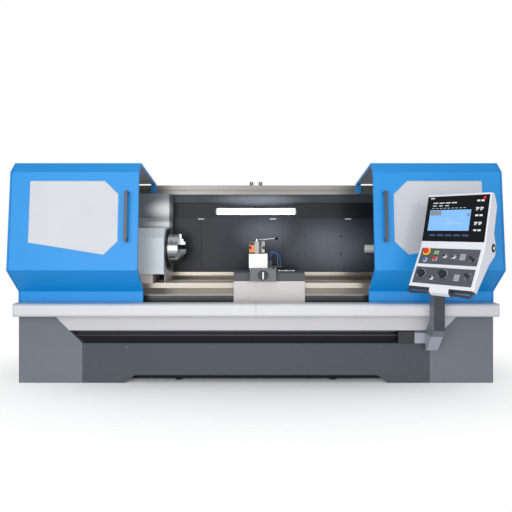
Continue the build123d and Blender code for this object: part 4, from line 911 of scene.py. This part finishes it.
def plates(name, base, height, outlines, material, body="pendant_housing"):
    """Thin bevelled plates on a face. An outline is (u low, u high, v low, v high, thickness)."""
    joined = bmesh.new()
    for u_low, u_high, v_low, v_high, thick in outlines:
        made = bmesh.ops.create_cube(joined, size=1.0)["verts"]
        centre = ((u_low + u_high) / 2, (v_low + v_high) / 2, height + thick / 2)
        size = Matrix.Diagonal((u_high - u_low, v_high - v_low, thick, 1))
        bmesh.ops.transform(joined, matrix=Matrix.Translation(centre) @ size, verts=made)
    mesh = bpy.data.meshes.new(name)
    joined.to_mesh(mesh)
    joined.free()
    piece = bpy.data.objects.new(name, mesh)
    bpy.context.collection.objects.link(piece)
    mesh.transform(base)
    mesh.materials.append(material)
    edge = piece.modifiers.new("edge", "BEVEL")
    edge.width = min(0.0006, min(row[4] for row in outlines) * 0.4)
    edge.segments = 2
    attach(piece, body)


def glowing(name, colour, strength):
    material = coat(name, colour, rough=0.15, bump=0.0, mottle=0.08)
    skin = material.node_tree.nodes["Principled BSDF"]
    skin.inputs["Emission Color"].default_value = colour
    skin.inputs["Emission Strength"].default_value = strength
    return material


glass_top = 0.0
film = 0.0004
field_top = glass_top + 0.0005
field_glow = glowing("field_glow", srgb(118, 168, 232), 0.22)
mark_glow = glowing("mark_glow", srgb(206, 210, 216), 0.12)
grey_glow = glowing("grey_glow", srgb(120, 124, 134), 0.2)
field = [(0.040, 0.351, -0.266, -0.115, 0.0005)]
plates("drawing_field", screen_frame, glass_top, field, field_glow)
bars = [(0.044, 0.130, -0.154, -0.120, film), (0.325, 0.346, -0.162, -0.142, film)]
plates("field_bars", screen_frame, field_top, bars, grey_glow)
field_lines = [
    (0.120, 0.300, -0.2170, -0.2155, film),
    (0.178, 0.1795, -0.246, -0.170, film),
    (0.192, 0.232, -0.2085, -0.2070, film),
    (0.2305, 0.2320, -0.2070, -0.1880, film),
    (0.192, 0.232, -0.1895, -0.1880, film),
    (0.192, 0.1935, -0.2070, -0.1880, film),
]
plates("field_lines", screen_frame, field_top, field_lines, mark_glow)
soft_keys = []
for row in range(5):
    for column in range(2):
        u = 0.384 + 0.030 * column
        v = -0.060 - 0.052 * row
        soft_keys.append((u, u + 0.022, v, v + 0.012, film))
        if row % 2:
            soft_keys.append((u, u + 0.015, v - 0.010, v - 0.004, film))
readings = [(0.056 + 0.048 * i, 0.094 + 0.048 * i, -0.066, -0.059, film) for i in range(4)]
readings += [(0.056 + 0.048 * i, 0.084 + 0.048 * i, -0.086, -0.080, film) for i in range(3)]
readings += [(0.052 + 0.030 * i, 0.070 + 0.030 * i, -0.103, -0.100, film) for i in range(9)]
readings += [(0.030, 0.062, -0.030, -0.022, film)]
plates("screen_marks", screen_frame, glass_top, soft_keys + readings, mark_glow)
footer_glow = glowing("footer_glow", srgb(52, 66, 104), 0.25)
footer = [(0.060 + 0.062 * i, 0.108 + 0.062 * i, -0.306, -0.292, film) for i in range(5)]
plates("screen_footer", screen_frame, glass_top, footer, footer_glow)


def turned_piece(name, base, u, v, profile, material, body="pendant_housing", sides=40):
    """A turned ring or disc that stands out of a face. Profile points are (radius, height)."""
    verts, faces, count = [], [], len(profile)
    for i in range(sides):
        angle = 2 * pi * i / sides
        verts += [Vector((u + r * cos(angle), v + r * sin(angle), h)) for r, h in profile]
    for i in range(sides):
        here, onward = i * count, ((i + 1) % sides) * count
        for j in range(count):
            above = (j + 1) % count
            faces.append((here + j, onward + j, onward + above, here + above))
    piece = mesh_piece(name, verts, faces)
    shape = bmesh.new()
    shape.from_mesh(piece.data)
    bmesh.ops.remove_doubles(shape, verts=shape.verts, dist=0.00001)
    bmesh.ops.dissolve_degenerate(shape, dist=0.00001, edges=shape.edges)
    bmesh.ops.recalc_face_normals(shape, faces=shape.faces)
    shape.to_mesh(piece.data)
    shape.free()
    piece.data.transform(base)
    piece.data.materials.append(material)
    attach(piece, body)


alarm_rings = [(0.0, -0.0002), (0.0095, -0.0002), (0.0090, 0.0006), (0.0, 0.0006)]
red_glow = glowing("red_glow", srgb(206, 30, 34), 0.5)
turned_piece("alarm_lamp", screen_frame, 0.436, -0.034, alarm_rings, red_glow, sides=24)


# Saddle fittings: a bright oil line with two unions, lying beside the cross slide.
# The line and its unions are bare steel, made here as one turned profile.
union_metal = ground_metal(
    "union_metal", srgb(206, 206, 204), rough=0.25, stretch=(60, 400, 400), depth=0.2, metal=0.6
)
saddle_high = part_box("saddle")[1][2]
line_start = Vector((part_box("cross_slide")[1][0] + 0.016, -0.160, saddle_high + 0.0074))
line_frame = Matrix.Translation(line_start) @ Matrix.Rotation(pi / 2, 4, "Y")
oil_line = [
    (0.0, 0.000),
    (0.0065, 0.000),
    (0.0065, 0.014),
    (0.0032, 0.015),
    (0.0032, 0.062),
    (0.0060, 0.063),
    (0.0060, 0.074),
    (0.0032, 0.075),
    (0.0032, 0.118),
    (0.0068, 0.119),
    (0.0068, 0.134),
    (0.0, 0.134),
]
turned_piece("oil_line", line_frame, 0, 0, oil_line, union_metal, body="carriage", sides=20)


# Controls: buttons with their collars, dials, selectors and sticks, moulded in plain plastics.
# Collars, rings and frames stand on the key plate, and a round cap covers the side pivot.
yellow_plastic = coat("yellow_plastic", srgb(246, 196, 32), rough=0.35, gloss=0.2)
white_plastic = coat("white_plastic", srgb(216, 218, 222), rough=0.4)
black_plastic = coat("black_plastic", srgb(28, 29, 32), rough=0.42, grain=500)
softened("stop_button", coat("stop_plastic", srgb(206, 34, 28), rough=0.3, gloss=0.4), 0.003, segments=3)
softened("blue_button", coat("blue_plastic", srgb(36, 110, 190), rough=0.3, gloss=0.4), 0.001)
softened("green_button", coat("green_plastic", srgb(120, 190, 60), rough=0.3, gloss=0.4), 0.001)
softened("red_button", coat("red_plastic", srgb(196, 36, 40), rough=0.3, gloss=0.4), 0.001)
dial_plastic = coat("dial_plastic", srgb(24, 25, 28), rough=0.45, grain=500)
softened("left_dial", dial_plastic, 0.0008)
softened("right_dial", dial_plastic, 0.0008)
softened("joystick", coat("stick_rubber", srgb(30, 31, 33), rough=0.6, grain=400), 0.0008)


def collar(stem, head, outer, tall):
    """A collar round a stem, with a low well that the button's head goes down into."""
    low = key_floor
    well = low + 0.0011
    return [
        (stem, low),
        (outer, low),
        (outer, low + tall * 0.6),
        (outer - tall * 0.4, low + tall),
        (head, low + tall),
        (head, well),
        (stem, well),
    ]


stop_rings = collar(0.0118, 0.0208, 0.0300, 0.0035)
turned_piece("stop_collar", key_frame, 0.0617, -0.0332, stop_rings, yellow_plastic)
blue_rings = collar(0.0096, 0.0128, 0.0165, 0.0030)
turned_piece("blue_collar", key_frame, 0.0685, -0.0997, blue_rings, white_plastic)
selector_rings = [
    (0.0085, key_floor),
    (0.0130, key_floor),
    (0.0130, key_floor + 0.00132),
    (0.01212, key_floor + 0.0022),
    (0.0085, key_floor + 0.0022),
]
knob_low = key_floor + 0.0145
knob_high = knob_low + 0.0045
knob_rings = [
    (0.0, knob_low),
    (0.0086, knob_low),
    (0.0086, knob_low + 0.0030),
    (0.0070, knob_high),
    (0.0, knob_high),
]
selector_spots = {
    "left_selector": (0.2135, -0.0685),
    "middle_selector": (0.2796, -0.0716),
    "low_selector": (0.1594, -0.2363),
}
for name, (u, v) in selector_spots.items():
    turned_piece(f"{name}_ring", key_frame, u, v, selector_rings, white_plastic)
    turned_piece(f"{name}_knob", key_frame, u, v, knob_rings, black_plastic, sides=24)
rim_thick = 0.003
push_frames = [
    (0.1267, 0.1301, -0.0580, -0.0322, rim_thick),
    (0.1549, 0.1583, -0.0580, -0.0322, rim_thick),
    (0.1267, 0.1583, -0.0322, -0.0290, rim_thick),
    (0.1258, 0.1292, -0.0996, -0.0738, rim_thick),
    (0.1540, 0.1574, -0.0996, -0.0738, rim_thick),
    (0.1258, 0.1574, -0.1030, -0.0996, rim_thick),
]
plates("push_frames", key_frame, key_floor, push_frames, white_plastic)

pivot = pendant_corner + across * 0.478 + back * 0.015 + upright * kink.z
side_frame = Matrix.Translation(pivot) @ Matrix((back, upright, across)).transposed().to_4x4()
cap_rings = [(0.0, 0.0038), (0.0285, 0.0038), (0.0285, 0.0055), (0.0245, 0.0080), (0.0, 0.0080)]
turned_piece("pivot_cap", side_frame, 0, 0, cap_rings, black_plastic)
centre_rings = [(0.0, 0.0076), (0.0120, 0.0076), (0.0105, 0.0092), (0.0, 0.0092)]
turned_piece("pivot_cap_centre", side_frame, 0, 0, centre_rings, white_plastic)


# Scales: short printed ticks round each dial and selector, set out on an arc.
# The real ones are ink on the plate. Here each tick is a thin block, sunk a little into it.
arc_tree, arc_in, arc_sockets = modifier_tree(
    "ticks_on_arc",
    {
        "Tick": "NodeSocketObject",
        "Radius": "NodeSocketFloat",
        "Count": "NodeSocketInt",
        "Start": "NodeSocketFloat",
        "Sweep": "NodeSocketFloat",
        "Finish": "NodeSocketMaterial",
    },
)
arc = add_node(
    arc_tree,
    "GeometryNodeCurveArc",
    {
        "Resolution": arc_in["Count"],
        "Radius": arc_in["Radius"],
        "Start Angle": arc_in["Start"],
        "Sweep Angle": arc_in["Sweep"],
    },
    mode="RADIUS",
)
on_arc = add_node(arc_tree, "GeometryNodeCurveToPoints", {"Curve": arc.outputs["Curve"]}, mode="EVALUATED")
tick_info = add_node(arc_tree, "GeometryNodeObjectInfo", {"Object": arc_in["Tick"]})
tick_at = add_node(arc_tree, "GeometryNodeInputPosition")
outward = add_node(
    arc_tree,
    "FunctionNodeAlignRotationToVector",
    {"Vector": tick_at.outputs[0]},
    axis="Y",
    pivot_axis="Z",
)
ticks = add_node(
    arc_tree,
    "GeometryNodeInstanceOnPoints",
    {
        "Points": on_arc.outputs["Points"],
        "Instance": tick_info.outputs["Geometry"],
        "Rotation": outward.outputs[0],
    },
)
finished(arc_tree, ticks.outputs["Instances"], arc_in["Finish"])


tick_size = (0.0018, 0.0060, 0.0006)
tick_block = bmesh.new()
bmesh.ops.create_cube(tick_block, size=1.0)
bmesh.ops.transform(tick_block, matrix=Matrix.Diagonal((*tick_size, 1)), verts=tick_block.verts)
tick = mesh_piece("tick", [], [])
tick_block.to_mesh(tick.data)
tick_block.free()
scale_marks = bmesh.new()
scale_spots = [
    (0.0708, -0.2046, 0.0335, 19),
    (0.2344, -0.2012, 0.0335, 19),
    (0.2135, -0.0685, 0.0190, 7),
    (0.2796, -0.0716, 0.0190, 9),
    (0.1594, -0.2363, 0.0180, 5),
    (0.4188, -0.0840, 0.0240, 5),
    (0.4196, -0.2099, 0.0260, 9),
]
for u, v, radius, count in scale_spots:
    values = {
        "Tick": tick,
        "Radius": radius,
        "Count": count,
        "Start": radians(-45),
        "Sweep": radians(270),
        "Finish": white_plastic,
    }
    made = grown("scale_carrier", arc_tree, arc_sockets, values)
    made.transform(Matrix.Translation((u, v, key_floor + 0.00025)))
    scale_marks.from_mesh(made)
    bpy.data.meshes.remove(made)
scale_mesh = bpy.data.meshes.new("scale_marks")
scale_marks.to_mesh(scale_mesh)
scale_marks.free()
scale_mesh.materials.append(white_plastic)
scale_mesh.transform(key_frame)
scales = bpy.data.objects.new("scale_marks", scale_mesh)
bpy.context.collection.objects.link(scales)
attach(scales, "pendant_housing")
bpy.data.objects.remove(tick)


# Keys: two pads of small blank keys in light grey moulded plastic, their edges rounded.
# They stand in even rows and columns on the key plate.
key_plastic = coat("key_plastic", srgb(176, 178, 184), rough=0.45)
key_half = (0.0055, 0.0037)
key_pitch = (0.0135, 0.0098)
key_columns, key_rows, key_tall = 3, 5, 0.0016
pads = []
for centre_u, centre_v in ((0.3452, -0.0685), (0.3418, -0.2220)):
    for column in range(key_columns):
        for row in range(key_rows):
            u = centre_u + (column - (key_columns - 1) / 2) * key_pitch[0]
            v = centre_v + (row - (key_rows - 1) / 2) * key_pitch[1]
            pads.append((u - key_half[0], u + key_half[0], v - key_half[1], v + key_half[1], key_tall))
plates("keys", key_frame, key_floor + 0.0015, pads, key_plastic)
